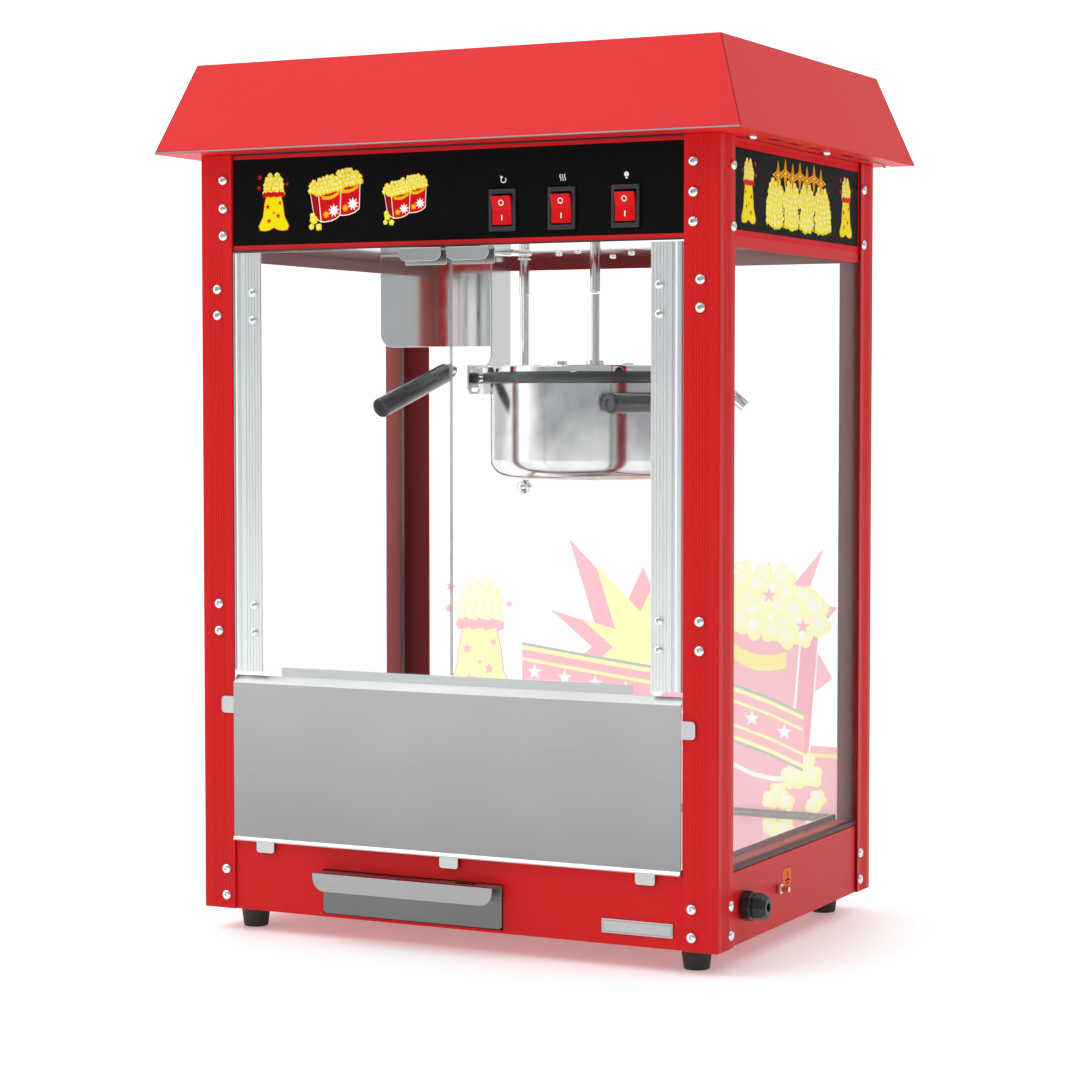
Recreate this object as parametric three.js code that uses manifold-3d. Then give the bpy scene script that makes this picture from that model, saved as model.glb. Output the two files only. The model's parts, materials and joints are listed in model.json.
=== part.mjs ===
// Countertop popcorn maker: a glazed cabinet on four corner posts, with a tilting kettle hung
// from the ceiling, two swinging doors, a lift-out deck tray and a crumb drawer.
// Millimetres. +Z is up, the front faces -Y, the origin is on the floor under the middle.
import * as THREE from 'three';
import { mergeVertices } from 'three/addons/utils/BufferGeometryUtils.js';
import Module from 'manifold-3d';

const wasm = await Module();
wasm.setup();

// ---------------------------------------------------------------- driving dimensions

// Whole object
const CABINET_W = 500;
const CABINET_D = 360;
const TOTAL_H = 770;
const EAVE_X = 30;          // how far the roof stands out past each side
const EAVE_Y = 28.5;        // and past the front and back
const ROOF_H = 79.5;
const ROOF_SLOPE_X = 28.8;  // how far each roof side leans in by its top
const ROOF_SLOPE_Y = 26.5;
const ROOF_LEDGE = 20;      // how far the roof's flange lies over the posts
const FOOT_H = 20;
const BASE_H = 62;
const HEADER_H = 86;

// Stock
const SHEET = 1.2;
const POST_LEG = 32;
const POST_T = 2;
const POST_GROOVES = 6;
const GROOVE_PITCH = 2.6;
const GROOVE_DEPTH = 0.5;
const GLASS_T = 3;
const PLATE_T = 2;          // kettle hangers

// Clearances
const GAP = 0.3;            // between pieces that rest on each other
const RUN = 0.7;            // around pieces that move

// Feet
const FOOT_TOP_R = 13.3;
const FOOT_TIP_R = 11;
const FOOT_INSET = 33;      // foot centre from the cabinet's sides

// Doors
const BEAD_R = 4.4;
const STILE_W = 24;         // from the bead's centre to the stile's inner edge
const STILE_T = 2.6;
const DOOR_SPLIT = 1.6;     // gap between the two doors
const PULL_W = 41;
const PULL_OUT = 12;
const PULL_DROP = 11.5;

// Deck tray
const TRAY_WALL_H = 141;
const LEDGE_IN = 6.2;
const LEDGE_UP = 6.5;
const UPSTAND_H = 8;
const UPSTAND_W = 342;
const TRAY_RIM_H = 5;
const TAB_W = 12;
const SIDE_TAB_H = 15;
const SIDE_TAB_CORNER = 3;
const SIDE_TAB_Z = 121;     // middle of the side tabs above the tray's lower edge
const FOOT_TAB_W = 18;
const FOOT_TAB_H = 9.5;
const FOOT_TAB_X = 185;
const SIFT_COLUMNS = 4;
const SIFT_ROWS = 7;
const SIFT_L = 36;
const SIFT_W = 4;
const SIFT_PITCH_X = 44;
const SIFT_PITCH_Y = 20;

// Crumb drawer
const DRAWER_W = 177;
const DRAWER_X = -38.5;     // middle of the drawer
const DRAWER_H = 38;
const DRAWER_L = 250;
const DRAWER_LIFT = 2.3;    // drawer above the base pan's floor
const DRAWER_CHAMFER = 2.2;
const DRAWER_GAP = 0.5;     // between the drawer's front and its opening
const HANDLE_OUT = 18;
const HANDLE_DROP = 15.5;
const HANDLE_CORNER = 12;

// Kettle
const KETTLE_X = 52;
const POT_R = 94.5;
const POT_H = 85;
const POT_CORNER = 18;
const PAN_IN = 6.5;         // pan's wall inside the kettle's shell
const KETTLE_SIDES = 44;    // flats around the kettle, shell and lid
const RIM_OUT = 6.5;        // rim past the kettle's shell
const RIM_H = 9.5;
const LID_IN = 4;           // lid's edge inside the rim's
const LID_H = 6;
const BRIDGE_W = 24;
const PIVOT_DROP = 116.7;   // tilting axis below the ceiling
const PIVOT_R = 5;
const SHAFT_R = 4.2;
const SHAFT_UP = 76;        // stirrer shaft's end above the tilting axis
const SLEEVE_R = 4.9;
const LID_KNOB_R = 6;
const LID_KNOB_H = 3.5;
const LID_KNOB_Y = 70;      // a flap's knob from the kettle's middle
const HANGER_CLEAR = 8;     // between the rim and a hanger
const HANGER_W = 38;
const HANGER_BACK = 8;      // front edge of the hanger's strip, behind the tilting axis
const HANGER_FLANGE = 22;
const LUG_FRONT = 37;
const LUG_DOWN = 14.5;
const LUG_UP = 12.5;
const GRIP_R = 9;

// Lamp, rod, ceiling
const CEILING_Z = 5.5;      // ceiling above the front header panel's lower edge
const SHIELD_CLEAR = 14;    // between the shield and the left hanger
const SHIELD_W = 117;
const SHIELD_Y = 34;
const SHIELD_H = 86;
const SHIELD_CORNER = 13;
const SHIELD_FLANGE = 10;
const LAMP_R = 20;
const ROD_X = -78;
const ROD_Y = 115;
const ROD_R = 4.5;
const ROD_HEAD = 0.7;       // rod's upper sleeve past the rod
const ROD_HEAD_L = 36;
const BALL_R = 7.5;
const BALL_DROP = 219.2;    // rod's ball below the ceiling

// Switches
const SWITCH_X = [51.5, 107, 165.5];
const SWITCH_UP = 28.7;     // switch centres above the header panel's lower edge
const SWITCH_W = 25.5;
const SWITCH_H = 35.5;
const ROCKER_W = 18.4;
const ROCKER_ANGLE = 14;

// ---------------------------------------------------------------- levels and lines worked out

const HW = CABINET_W / 2;
const HD = CABINET_D / 2;
const Z_BASE = FOOT_H + BASE_H;
const Z_EAVE = TOTAL_H - ROOF_H;
const Z_POST = Z_EAVE - GAP;
const Z_HEADER = Z_EAVE - HEADER_H + 0.2;
const Z_CEILING = Z_HEADER + CEILING_Z;
const SKIN_X = HW - POST_T - GAP;        // outer face of side panels
const SKIN_Y = HD - POST_T - GAP;        // outer face of front and back panels
const IN_X = SKIN_X - SHEET - GAP;       // free half width inside the panels
const IN_Y = SKIN_Y - SHEET - GAP;
const POST_IN_X = HW - POST_LEG;         // half width between the posts
const Z_DRAWER = FOOT_H + SHEET + DRAWER_LIFT;
const Z_TRAY = Z_BASE + GAP;
const Z_TRAY_TOP = Z_TRAY + TRAY_WALL_H + LEDGE_UP + UPSTAND_H;
const TRAY_Y = -HD - 0.6;                // back of the tray's front wall
const HINGE_X = POST_IN_X - BEAD_R - 0.8;
const HINGE_Y = -HD + BEAD_R + 0.1;
const Z_DOOR_TOP = Z_HEADER - 1.2;
const Z_STILE = Z_TRAY_TOP - 3.8;
const Z_GLASS = Z_TRAY_TOP + RUN;
const PAN_R = POT_R - PAN_IN;
const RIM_R = POT_R + RIM_OUT;
const LID_R = RIM_R - LID_IN;
const PIVOT_Z = Z_CEILING - PIVOT_DROP;  // height of the tilting axis
const LUG_X = RIM_R + HANGER_CLEAR;      // hanger's near face from the kettle's middle
const SHIELD_X = KETTLE_X - LUG_X - PLATE_T - SHIELD_CLEAR - SHIELD_W / 2;
const LAMP_X = SHIELD_X;
const BALL_Z = Z_CEILING - BALL_DROP;
const Z_SWITCH = Z_HEADER + SWITCH_UP;
const LAMP_Y = SHIELD_Y + SHIELD_FLANGE + LAMP_R + 2;

// ---------------------------------------------------------------- finishes

const paint = new THREE.MeshStandardMaterial({ color: 0xe0282b, roughness: 0.35, metalness: 0.1 });
const steel = new THREE.MeshStandardMaterial({ color: 0xb4b4b4, roughness: 0.35, metalness: 1 });
const polished = new THREE.MeshStandardMaterial({ color: 0xd8dadb, roughness: 0.12, metalness: 1 });
const alloy = new THREE.MeshStandardMaterial({ color: 0xe6e8e8, roughness: 0.4, metalness: 1 });
const rimCoat = new THREE.MeshStandardMaterial({ color: 0x5c5f5e, roughness: 0.4, metalness: 0.8 });
const rubber = new THREE.MeshStandardMaterial({ color: 0x1c1c1e, roughness: 0.6, metalness: 0 });
const blackPlastic = new THREE.MeshStandardMaterial({ color: 0x29282c, roughness: 0.45, metalness: 0 });
const redPlastic = new THREE.MeshStandardMaterial({ color: 0xd01820, roughness: 0.25, metalness: 0 });
const brass = new THREE.MeshStandardMaterial({ color: 0xc8a060, roughness: 0.3, metalness: 1 });
const ceramic = new THREE.MeshStandardMaterial({ color: 0xf0eee6, roughness: 0.5, metalness: 0 });
const clear = new THREE.MeshStandardMaterial({
  color: 0xf4fafa, roughness: 0.05, metalness: 0, transparent: true, opacity: 0.25,
});
const motorCoat = new THREE.MeshStandardMaterial({ color: 0x8a8c90, roughness: 0.5, metalness: 0.9 });

// ---------------------------------------------------------------- solids

function solid(geometry) {
  const bare = geometry.clone();
  bare.deleteAttribute('normal');
  bare.deleteAttribute('uv');
  const merged = mergeVertices(bare, 1e-4);
  return new wasm.Manifold(new wasm.Mesh({
    numProp: 3,
    vertProperties: new Float32Array(merged.attributes.position.array),
    triVerts: new Uint32Array(merged.index.array),
  }));
}

function geometryOf(manifold) {
  const { vertProperties, triVerts } = manifold.getMesh();
  const geometry = new THREE.BufferGeometry();
  geometry.setAttribute('position', new THREE.BufferAttribute(vertProperties, 3));
  geometry.setIndex(new THREE.BufferAttribute(triVerts, 1));
  geometry.computeVertexNormals();
  return geometry;
}

function join(...geometries) {
  return geometryOf(geometries.map(solid).reduce((whole, piece) => whole.add(piece)));
}

function cut(geometry, ...tools) {
  return geometryOf(tools.map(solid).reduce((whole, tool) => whole.subtract(tool), solid(geometry)));
}

// A box from its lowest to its highest corner, given in either order.
function block(xa, xb, ya, yb, za, zb) {
  const geometry = new THREE.BoxGeometry(Math.abs(xb - xa), Math.abs(yb - ya), Math.abs(zb - za));
  return geometry.translate((xa + xb) / 2, (ya + yb) / 2, (za + zb) / 2);
}

function shapeOf(points) {
  return new THREE.Shape(points.map(([a, b]) => new THREE.Vector2(a, b)));
}

function extruded(shape, length) {
  return new THREE.ExtrudeGeometry(shape, { depth: length, bevelEnabled: false, curveSegments: 6 });
}

// An outline in X and Y, pulled up from za to zb.
function prismZ(shape, za, zb) {
  return extruded(shape, zb - za).translate(0, 0, za);
}

// An outline in X and Z, pulled along Y from ya to yb.
function prismY(shape, ya, yb) {
  return extruded(shape, yb - ya).rotateX(Math.PI / 2).translate(0, yb, 0);
}

// An outline in Y and Z, pulled along X from xa to xb.
function prismX(shape, xa, xb) {
  const turn = new THREE.Matrix4().makeBasis(
    new THREE.Vector3(0, 1, 0), new THREE.Vector3(0, 0, 1), new THREE.Vector3(1, 0, 0));
  return extruded(shape, xb - xa).applyMatrix4(turn).translate(xa, 0, 0);
}

// A profile of [radius, height] points turned about the Z axis.
function turned(profile, segments = 24) {
  const points = profile.map(([radius, height]) => new THREE.Vector2(radius, height));
  return new THREE.LatheGeometry(points, segments).rotateX(Math.PI / 2);
}

function placedBetween(geometry, from, to) {
  const start = new THREE.Vector3(...from);
  const along = new THREE.Vector3(...to).sub(start);
  const turn = new THREE.Quaternion().setFromUnitVectors(
    new THREE.Vector3(0, 0, 1), along.clone().normalize());
  return geometry.applyQuaternion(turn).translate(start.x, start.y, start.z);
}

function distance(from, to) {
  return new THREE.Vector3(...from).distanceTo(new THREE.Vector3(...to));
}

// The point that lies a little before the start of a line.
function beyond(from, to, before) {
  const start = new THREE.Vector3(...from);
  const back = start.clone().sub(new THREE.Vector3(...to)).setLength(before);
  return start.add(back).toArray();
}

function rod(from, to, radius, segments = 16) {
  const length = distance(from, to);
  return placedBetween(turned([[0, 0], [radius, 0], [radius, length], [0, length]], segments), from, to);
}

function flatBar(from, to, width, thickness) {
  const length = distance(from, to);
  return placedBetween(block(-width / 2, width / 2, -thickness / 2, thickness / 2, 0, length), from, to);
}

// A rectangle whose two lower corners are rounded.
function dropShape(xa, xb, bottom, top, radius) {
  const shape = new THREE.Shape();
  shape.moveTo(xa, top);
  shape.lineTo(xa, bottom + radius);
  shape.absarc(xa + radius, bottom + radius, radius, Math.PI, 1.5 * Math.PI, false);
  shape.absarc(xb - radius, bottom + radius, radius, 1.5 * Math.PI, 2 * Math.PI, false);
  shape.lineTo(xb, top);
  shape.closePath();
  return shape;
}

// A box whose upper face is narrower than its lower one.
function frustum(lowW, lowD, highW, highD, za, zb) {
  const geometry = new THREE.BoxGeometry(lowW, lowD, zb - za);
  const at = geometry.attributes.position;
  for (let i = 0; i < at.count; i += 1) {
    if (at.getZ(i) > 0) {
      at.setX(i, at.getX(i) * highW / lowW);
      at.setY(i, at.getY(i) * highD / lowD);
    }
  }
  return geometry.translate(0, 0, (za + zb) / 2);
}

// ---------------------------------------------------------------- the scene graph

const popcornMaker = new THREE.Group();

function group(parent, x = 0, y = 0, z = 0) {
  const made = new THREE.Group();
  made.position.set(x, y, z);
  parent.add(made);
  return made;
}

function piece(parent, name, geometry, material, x = 0, y = 0, z = 0) {
  const mesh = new THREE.Mesh(geometry, material);
  mesh.name = name;
  mesh.position.set(x, y, z);
  parent.add(mesh);
}

const SIDES = [['left', -1], ['right', 1]];
const ENDS = [['front', -1], ['back', 1]];

// ---------------------------------------------------------------- frame and base

// An angle section: two legs from the outer corner, each with fine grooves along its middle.
function postSection(sx, sy) {
  const legLine = [];
  const middle = POST_LEG / 2;
  for (let i = 0; i < POST_GROOVES; i += 1) {
    const at = middle + (i - (POST_GROOVES - 1) / 2) * GROOVE_PITCH;
    legLine.push([at - GROOVE_PITCH / 4, 0], [at, GROOVE_DEPTH], [at + GROOVE_PITCH / 4, 0]);
  }
  const first = [[0.8, 0], ...legLine, [POST_LEG, 0], [POST_LEG, POST_T], [POST_T, POST_T]];
  const second = [[POST_T, POST_LEG], [0, POST_LEG], ...legLine.map(([a, b]) => [b, a]).reverse(), [0, 0.8]];
  const outline = [...first, ...second];
  return shapeOf(outline.map(([a, b]) => [sx * (HW - a), sy * (HD - b)]));
}

function addPosts(parent) {
  for (const [side, sx] of SIDES) {
    for (const [end, sy] of ENDS) {
      piece(parent, `corner_post_${end}_${side}`, prismZ(postSection(sx, sy), FOOT_H, Z_POST), paint);
    }
  }
}

function addFeet(parent) {
  const foot = turned([[0, 0], [FOOT_TIP_R - 1, 0], [FOOT_TIP_R, 1], [FOOT_TOP_R, FOOT_H - 1.5],
    [FOOT_TOP_R - 1, FOOT_H - GAP], [0, FOOT_H - GAP]], 16);
  for (const [side, sx] of SIDES) {
    for (const [end, sy] of ENDS) {
      piece(parent, `foot_${end}_${side}`, foot, rubber, sx * (HW - FOOT_INSET), sy * (HD - FOOT_INSET));
    }
  }
}

function addBase(parent) {
  const front = -(IN_Y);
  const wellX = POST_IN_X - 18;
  const wellY = HD - POST_LEG;
  const pan = cut(
    block(-SKIN_X, SKIN_X, front, SKIN_Y, FOOT_H, Z_BASE),
    block(-SKIN_X + SHEET, SKIN_X - SHEET, front - 1, SKIN_Y - SHEET, FOOT_H + SHEET, Z_BASE - SHEET),
    block(-wellX, wellX, -wellY, wellY, Z_BASE - 2 * SHEET, Z_BASE + 1));
  piece(parent, 'base_pan', pan, paint);

  const panel = cut(
    block(-SKIN_X, SKIN_X, -SKIN_Y, -SKIN_Y + SHEET, FOOT_H, Z_BASE),
    block(DRAWER_X - DRAWER_W / 2 - DRAWER_GAP, DRAWER_X + DRAWER_W / 2 + DRAWER_GAP,
      -HD, -HD + 10, Z_DRAWER - DRAWER_GAP, Z_DRAWER + DRAWER_H + DRAWER_GAP));
  piece(parent, 'base_front_panel', panel, paint);

  for (const [side, sx] of SIDES) {
    const inner = DRAWER_X + sx * (DRAWER_W / 2 + RUN);
    const angle = join(
      block(inner, inner + sx * SHEET, -IN_Y + 4, -IN_Y + DRAWER_L, FOOT_H + SHEET + GAP, Z_DRAWER + 16),
      block(inner, inner + sx * 12, -IN_Y + 4, -IN_Y + DRAWER_L, FOOT_H + SHEET + GAP,
        FOOT_H + 2 * SHEET + GAP));
    piece(parent, `drawer_runner_${side}`, angle, steel);
  }

  const badge = block(0, 65, -SKIN_Y - GAP - 0.8, -SKIN_Y - GAP, 0, 12);
  piece(parent, 'badge_plate', badge, alloy, HW - 106, 0, FOOT_H + 9.5);
}


// ---------------------------------------------------------------- header, ceiling and roof

function addHeader(parent) {
  const holes = SWITCH_X.map((x) => block(
    x - ROCKER_W / 2 - 1.7, x + ROCKER_W / 2 + 1.7, -HD - 1, -HD + 10,
    Z_SWITCH - SWITCH_H / 2 + 2.4, Z_SWITCH + SWITCH_H / 2 - 2.4));
  const front = cut(block(-SKIN_X, SKIN_X, -SKIN_Y, -SKIN_Y + SHEET, Z_HEADER, Z_POST), ...holes);
  piece(parent, 'header_front_panel', front, paint);
  const back = block(-SKIN_X, SKIN_X, SKIN_Y - SHEET, SKIN_Y, Z_HEADER - 4, Z_POST);
  piece(parent, 'header_back_panel', back, paint);
  for (const [side, sx] of SIDES) {
    const panel = block(sx * (SKIN_X - SHEET), sx * SKIN_X, -IN_Y, IN_Y, Z_HEADER - 5.5, Z_POST);
    piece(parent, `header_${side}_panel`, panel, paint);
  }
}

function addCeiling(parent) {
  const sleeveHole = rod([KETTLE_X, 0, Z_CEILING - 5], [KETTLE_X, 0, Z_CEILING + 5], SLEEVE_R + 1.2);
  const louvres = [-1, 1].flatMap((side) => [0, 1, 2].map((row) => block(
    KETTLE_X + side * 60 - 22, KETTLE_X + side * 60 + 22, -70 + row * 9, -67 + row * 9,
    Z_CEILING - 5, Z_CEILING + 5)));
  const plate = cut(
    block(-IN_X, IN_X, -IN_Y, IN_Y, Z_CEILING, Z_CEILING + SHEET), sleeveHole, ...louvres);
  piece(parent, 'ceiling_plate', plate, polished);
}

function addRoof(parent) {
  const lowW = CABINET_W + 2 * EAVE_X;
  const lowD = CABINET_D + 2 * EAVE_Y;
  const highW = lowW - 2 * ROOF_SLOPE_X;
  const highD = lowD - 2 * ROOF_SLOPE_Y;
  const wall = 2 * SHEET;
  const shell = cut(
    frustum(lowW, lowD, highW, highD, Z_EAVE, TOTAL_H),
    frustum(lowW - 1.4 * wall, lowD - 1.4 * wall, highW - 0.8 * wall, highD - 0.8 * wall,
      Z_EAVE + SHEET, TOTAL_H - SHEET),
    block(-HW + ROOF_LEDGE, HW - ROOF_LEDGE, -HD + ROOF_LEDGE, HD - ROOF_LEDGE, Z_EAVE - 1, Z_EAVE + 9));
  piece(parent, 'roof_shell', shell, paint);
}

// ---------------------------------------------------------------- windows

function addWindows(parent) {
  const foot = Z_BASE + GAP;
  const head = Z_CEILING - GAP;
  for (const [side, sx] of SIDES) {
    const glass = block(sx * (IN_X - GLASS_T), sx * IN_X, -IN_Y, IN_Y - GLASS_T - GAP, foot, head);
    piece(parent, `window_${side}`, glass, clear);
  }
  piece(parent, 'window_back', block(-IN_X, IN_X, IN_Y - GLASS_T, IN_Y, foot, head), clear);
}

// ---------------------------------------------------------------- doors

// One door hangs on a round bead that turns in a socket along the post.
function addDoor(parent, side, sx) {
  const doorGroup = group(parent, sx * HINGE_X, HINGE_Y, 0);
  const toMiddle = -sx;
  const x = (fromHinge) => toMiddle * fromHinge;
  const front = -HD - HINGE_Y;
  const glassFront = front + STILE_T + GAP;
  const glassBack = glassFront + GLASS_T;

  const web = BEAD_R + 0.6;
  const stile = join(
    rod([0, 0, Z_STILE], [0, 0, Z_DOOR_TOP], BEAD_R, 20),
    block(x(0), x(web + 1.2), front + 1.4, front + 3.4, Z_STILE, Z_DOOR_TOP),
    block(x(web), x(STILE_W), front, front + STILE_T, Z_STILE, Z_DOOR_TOP),
    block(x(web), x(web + 1.4), front, glassBack + GAP + SHEET, Z_STILE, Z_DOOR_TOP),
    block(x(web), x(STILE_W - 8), glassBack + GAP, glassBack + GAP + SHEET, Z_STILE, Z_DOOR_TOP));
  const grooves = [0, 1, 2, 3, 4].map((i) => block(
    x(web + 4 + i * 3), x(web + 4.9 + i * 3), front - 1, front + 0.5, Z_STILE - 1, Z_DOOR_TOP + 1));
  piece(doorGroup, `door_${side}_stile`, cut(stile, ...grooves), alloy);

  const edge = HINGE_X - DOOR_SPLIT / 2;
  const glass = block(x(web + 1.4 + GAP), x(edge), glassFront, glassBack, Z_GLASS, Z_DOOR_TOP);
  piece(doorGroup, `door_${side}_glass`, glass, clear);

  const near = Math.min(x(edge - 1.6), x(edge - 1.6 - PULL_W));
  const far = Math.max(x(edge - 1.6), x(edge - 1.6 - PULL_W));
  const back = glassFront - GAP;
  const lip = back - PULL_OUT;
  const pull = join(
    prismY(dropShape(near, far, Z_DOOR_TOP - PULL_DROP - 3, Z_DOOR_TOP, 2), back - SHEET, back),
    block(near, far, lip, back, Z_DOOR_TOP - SHEET, Z_DOOR_TOP),
    prismY(dropShape(near, far, Z_DOOR_TOP - PULL_DROP, Z_DOOR_TOP, 7), lip, lip + SHEET));
  piece(doorGroup, `door_${side}_pull`, pull, steel);
}

// The socket wraps the back of the bead and screws behind the post's front leg.
function addHingeRail(parent, side, sx) {
  const socket = new THREE.Shape();
  const inner = BEAD_R + 0.35;
  const outer = BEAD_R + 1.6;
  const wrapEnd = 1.11 * Math.PI;
  socket.absarc(0, 0, outer, Math.PI / 4, wrapEnd, false);
  socket.absarc(0, 0, inner, wrapEnd, Math.PI / 4, true);
  socket.closePath();
  const flange = -HINGE_Y - HD + POST_T + GAP;
  const leg = block(-outer - 13, -inner - 0.4, flange, flange + 1.6, Z_STILE, Z_DOOR_TOP);
  const rail = join(prismZ(socket, Z_STILE, Z_DOOR_TOP), leg);
  if (sx > 0) {
    rail.applyMatrix4(new THREE.Matrix4().makeScale(-1, 1, 1));
    const order = rail.index.array;
    for (let i = 0; i < order.length; i += 3) {
      [order[i], order[i + 1]] = [order[i + 1], order[i]];
    }
  }
  piece(parent, `hinge_rail_${side}`, rail, alloy, sx * HINGE_X, HINGE_Y);
}

function addDoorCatch(parent) {
  const y = HINGE_Y + BEAD_R;
  const bracket = join(
    block(-26, 26, y, y + 22, Z_CEILING - GAP - SHEET, Z_CEILING - GAP),
    block(-26, 26, y, y + SHEET, Z_CEILING - 18, Z_CEILING - GAP),
    block(-22, -6, y, y + 9, Z_CEILING - 15, Z_CEILING - 6),
    block(6, 22, y, y + 9, Z_CEILING - 15, Z_CEILING - 6));
  piece(parent, 'door_catch', bracket, steel);
}

// ---------------------------------------------------------------- deck tray

function tabShape(xa, xb, bottom, top) {
  return dropShape(xa, xb, bottom, top, 2.5);
}

function addDeckTray(parent) {
  const halfW = POST_IN_X - RUN;
  const outer = TRAY_Y - SHEET;
  const wallTop = Z_TRAY + TRAY_WALL_H;
  const ledge = shapeOf([[outer, wallTop - 1.5], [TRAY_Y, wallTop - 1.5],
    [TRAY_Y + LEDGE_IN, wallTop + LEDGE_UP - 1.5], [TRAY_Y + LEDGE_IN, wallTop + LEDGE_UP],
    [TRAY_Y + LEDGE_IN - SHEET, wallTop + LEDGE_UP], [outer, wallTop]]);
  const rear = IN_Y - GLASS_T - GAP - RUN;
  const upstandX = UPSTAND_W / 2;
  const parts = [
    block(-halfW, halfW, outer, TRAY_Y, Z_TRAY, wallTop - 1),
    prismX(ledge, -halfW, halfW),
    block(-upstandX, upstandX, TRAY_Y + LEDGE_IN - SHEET, TRAY_Y + LEDGE_IN,
      wallTop + LEDGE_UP - 1, Z_TRAY_TOP),
    block(-halfW, halfW, outer, rear, Z_TRAY, Z_TRAY + SHEET),
    block(-halfW, -halfW + SHEET, outer, rear, Z_TRAY, Z_TRAY + TRAY_RIM_H),
    block(halfW - SHEET, halfW, outer, rear, Z_TRAY, Z_TRAY + TRAY_RIM_H),
    block(-halfW, halfW, rear - SHEET, rear, Z_TRAY, Z_TRAY + TRAY_RIM_H),
  ];
  const tabZ = Z_TRAY + SIDE_TAB_Z;
  for (const sx of [-1, 1]) {
    const root = sx * (halfW - 4);
    const reach = sx * (halfW + TAB_W + RUN);
    const half = SIDE_TAB_H / 2;
    const cut45 = SIDE_TAB_CORNER * (1 - Math.SQRT1_2);
    const inset = reach - sx * SIDE_TAB_CORNER;
    const flat = half - SIDE_TAB_CORNER;
    parts.push(prismY(shapeOf([[root, tabZ - half], [inset, tabZ - half],
      [reach - sx * cut45, tabZ - half + cut45], [reach, tabZ - flat], [reach, tabZ + flat],
      [reach - sx * cut45, tabZ + half - cut45], [inset, tabZ + half], [root, tabZ + half]]), outer, TRAY_Y));
  }
  for (const x of [-FOOT_TAB_X, 0, FOOT_TAB_X]) {
    const low = tabShape(x - FOOT_TAB_W / 2, x + FOOT_TAB_W / 2, Z_TRAY - FOOT_TAB_H, Z_TRAY + 3);
    parts.push(prismY(low, outer, TRAY_Y));
  }
  const slots = [];
  for (let row = 0; row < SIFT_ROWS; row += 1) {
    for (let column = 0; column < SIFT_COLUMNS; column += 1) {
      const x = DRAWER_X + (column - (SIFT_COLUMNS - 1) / 2) * SIFT_PITCH_X;
      const y = -HD + 55 + row * SIFT_PITCH_Y;
      slots.push(block(x - SIFT_L / 2, x + SIFT_L / 2, y, y + SIFT_W, Z_TRAY - 1, Z_TRAY + SHEET + 1));
    }
  }
  piece(parent, 'deck_tray', cut(join(...parts), ...slots), steel);
}

// ---------------------------------------------------------------- crumb drawer

function troughShape(halfW, bottom, top, chamfer) {
  return shapeOf([[-halfW + chamfer, bottom], [halfW - chamfer, bottom], [halfW, bottom + chamfer],
    [halfW, top], [-halfW, top], [-halfW, bottom + chamfer]]);
}

function addDrawer(parent) {
  const drawer = group(parent, DRAWER_X, 0, Z_DRAWER);
  const half = DRAWER_W / 2;
  const front = -SKIN_Y - SHEET;
  const box = cut(
    prismY(troughShape(half, 0, DRAWER_H, DRAWER_CHAMFER), front, front + DRAWER_L),
    prismY(troughShape(half - SHEET, SHEET, DRAWER_H + 5, DRAWER_CHAMFER - 0.5),
      front + SHEET, front + DRAWER_L - SHEET));
  piece(drawer, 'crumb_drawer', box, steel);

  const back = front - GAP;
  const lip = back - HANDLE_OUT;
  const top = DRAWER_H;
  const handle = cut(
    join(
      block(-half, half, lip, back, top - SHEET, top),
      block(-half, half, back - SHEET, back, top - 11, top),
      prismY(dropShape(-half, half, top - HANDLE_DROP, top, HANDLE_CORNER), lip, lip + SHEET)),
    block(half - 41, half - 23, back - 8, back - 2.5, top - 3, top + 1));
  piece(drawer, 'drawer_handle', handle, steel);
}

// ---------------------------------------------------------------- kettle

// Everything in the kettle group is measured from the tilting axis.
const RIM_LOW = -4.5;
const POT_LOW = RIM_LOW - GAP - POT_H;

function arcPoints(cx, cy, radius, from, to, steps) {
  return Array.from({ length: steps + 1 }, (_, i) => {
    const angle = from + (to - from) * i / steps;
    return [cx + radius * Math.cos(angle), cy + radius * Math.sin(angle)];
  });
}

function addKettlePan(kettle) {
  const floor = POT_LOW + SHEET + 5;
  const inner = PAN_R - SHEET;
  const corner = POT_CORNER - 6;
  const pan = turned([[0, floor], ...arcPoints(PAN_R - corner, floor + corner, corner, -Math.PI / 2, 0, 4),
    [PAN_R, RIM_LOW], [RIM_R - 1, RIM_LOW], [RIM_R, RIM_LOW + 1], [RIM_R, RIM_LOW + RIM_H - 1],
    [RIM_R - 1, RIM_LOW + RIM_H], [inner, RIM_LOW + RIM_H],
    ...arcPoints(inner - corner + 1, floor + corner, corner - 1, 0, -Math.PI / 2, 4).map(
      ([r, z]) => [r, z + 0.2]),
    [0, floor + SHEET]], KETTLE_SIDES);
  const reach = LUG_X + PLATE_T + 3;
  const pins = [-1, 1].map((sx) => rod([sx * (RIM_R - 6), 0, 0], [sx * reach, 0, 0], PIVOT_R));
  piece(kettle, 'kettle_pot', join(pan, ...pins), rimCoat);

  const inside = POT_R - SHEET;
  const shell = turned([[0, POT_LOW],
    ...arcPoints(POT_R - POT_CORNER, POT_LOW + POT_CORNER, POT_CORNER, -Math.PI / 2, 0, 7),
    [POT_R, RIM_LOW - GAP], [inside, RIM_LOW - GAP],
    ...arcPoints(inside - POT_CORNER + 1, POT_LOW + POT_CORNER, POT_CORNER - 1, 0, -Math.PI / 2, 7).map(
      ([r, z]) => [r, z + 0.2]),
    [0, POT_LOW + SHEET]], KETTLE_SIDES);
  piece(kettle, 'kettle_shell', shell, polished);
}

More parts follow.
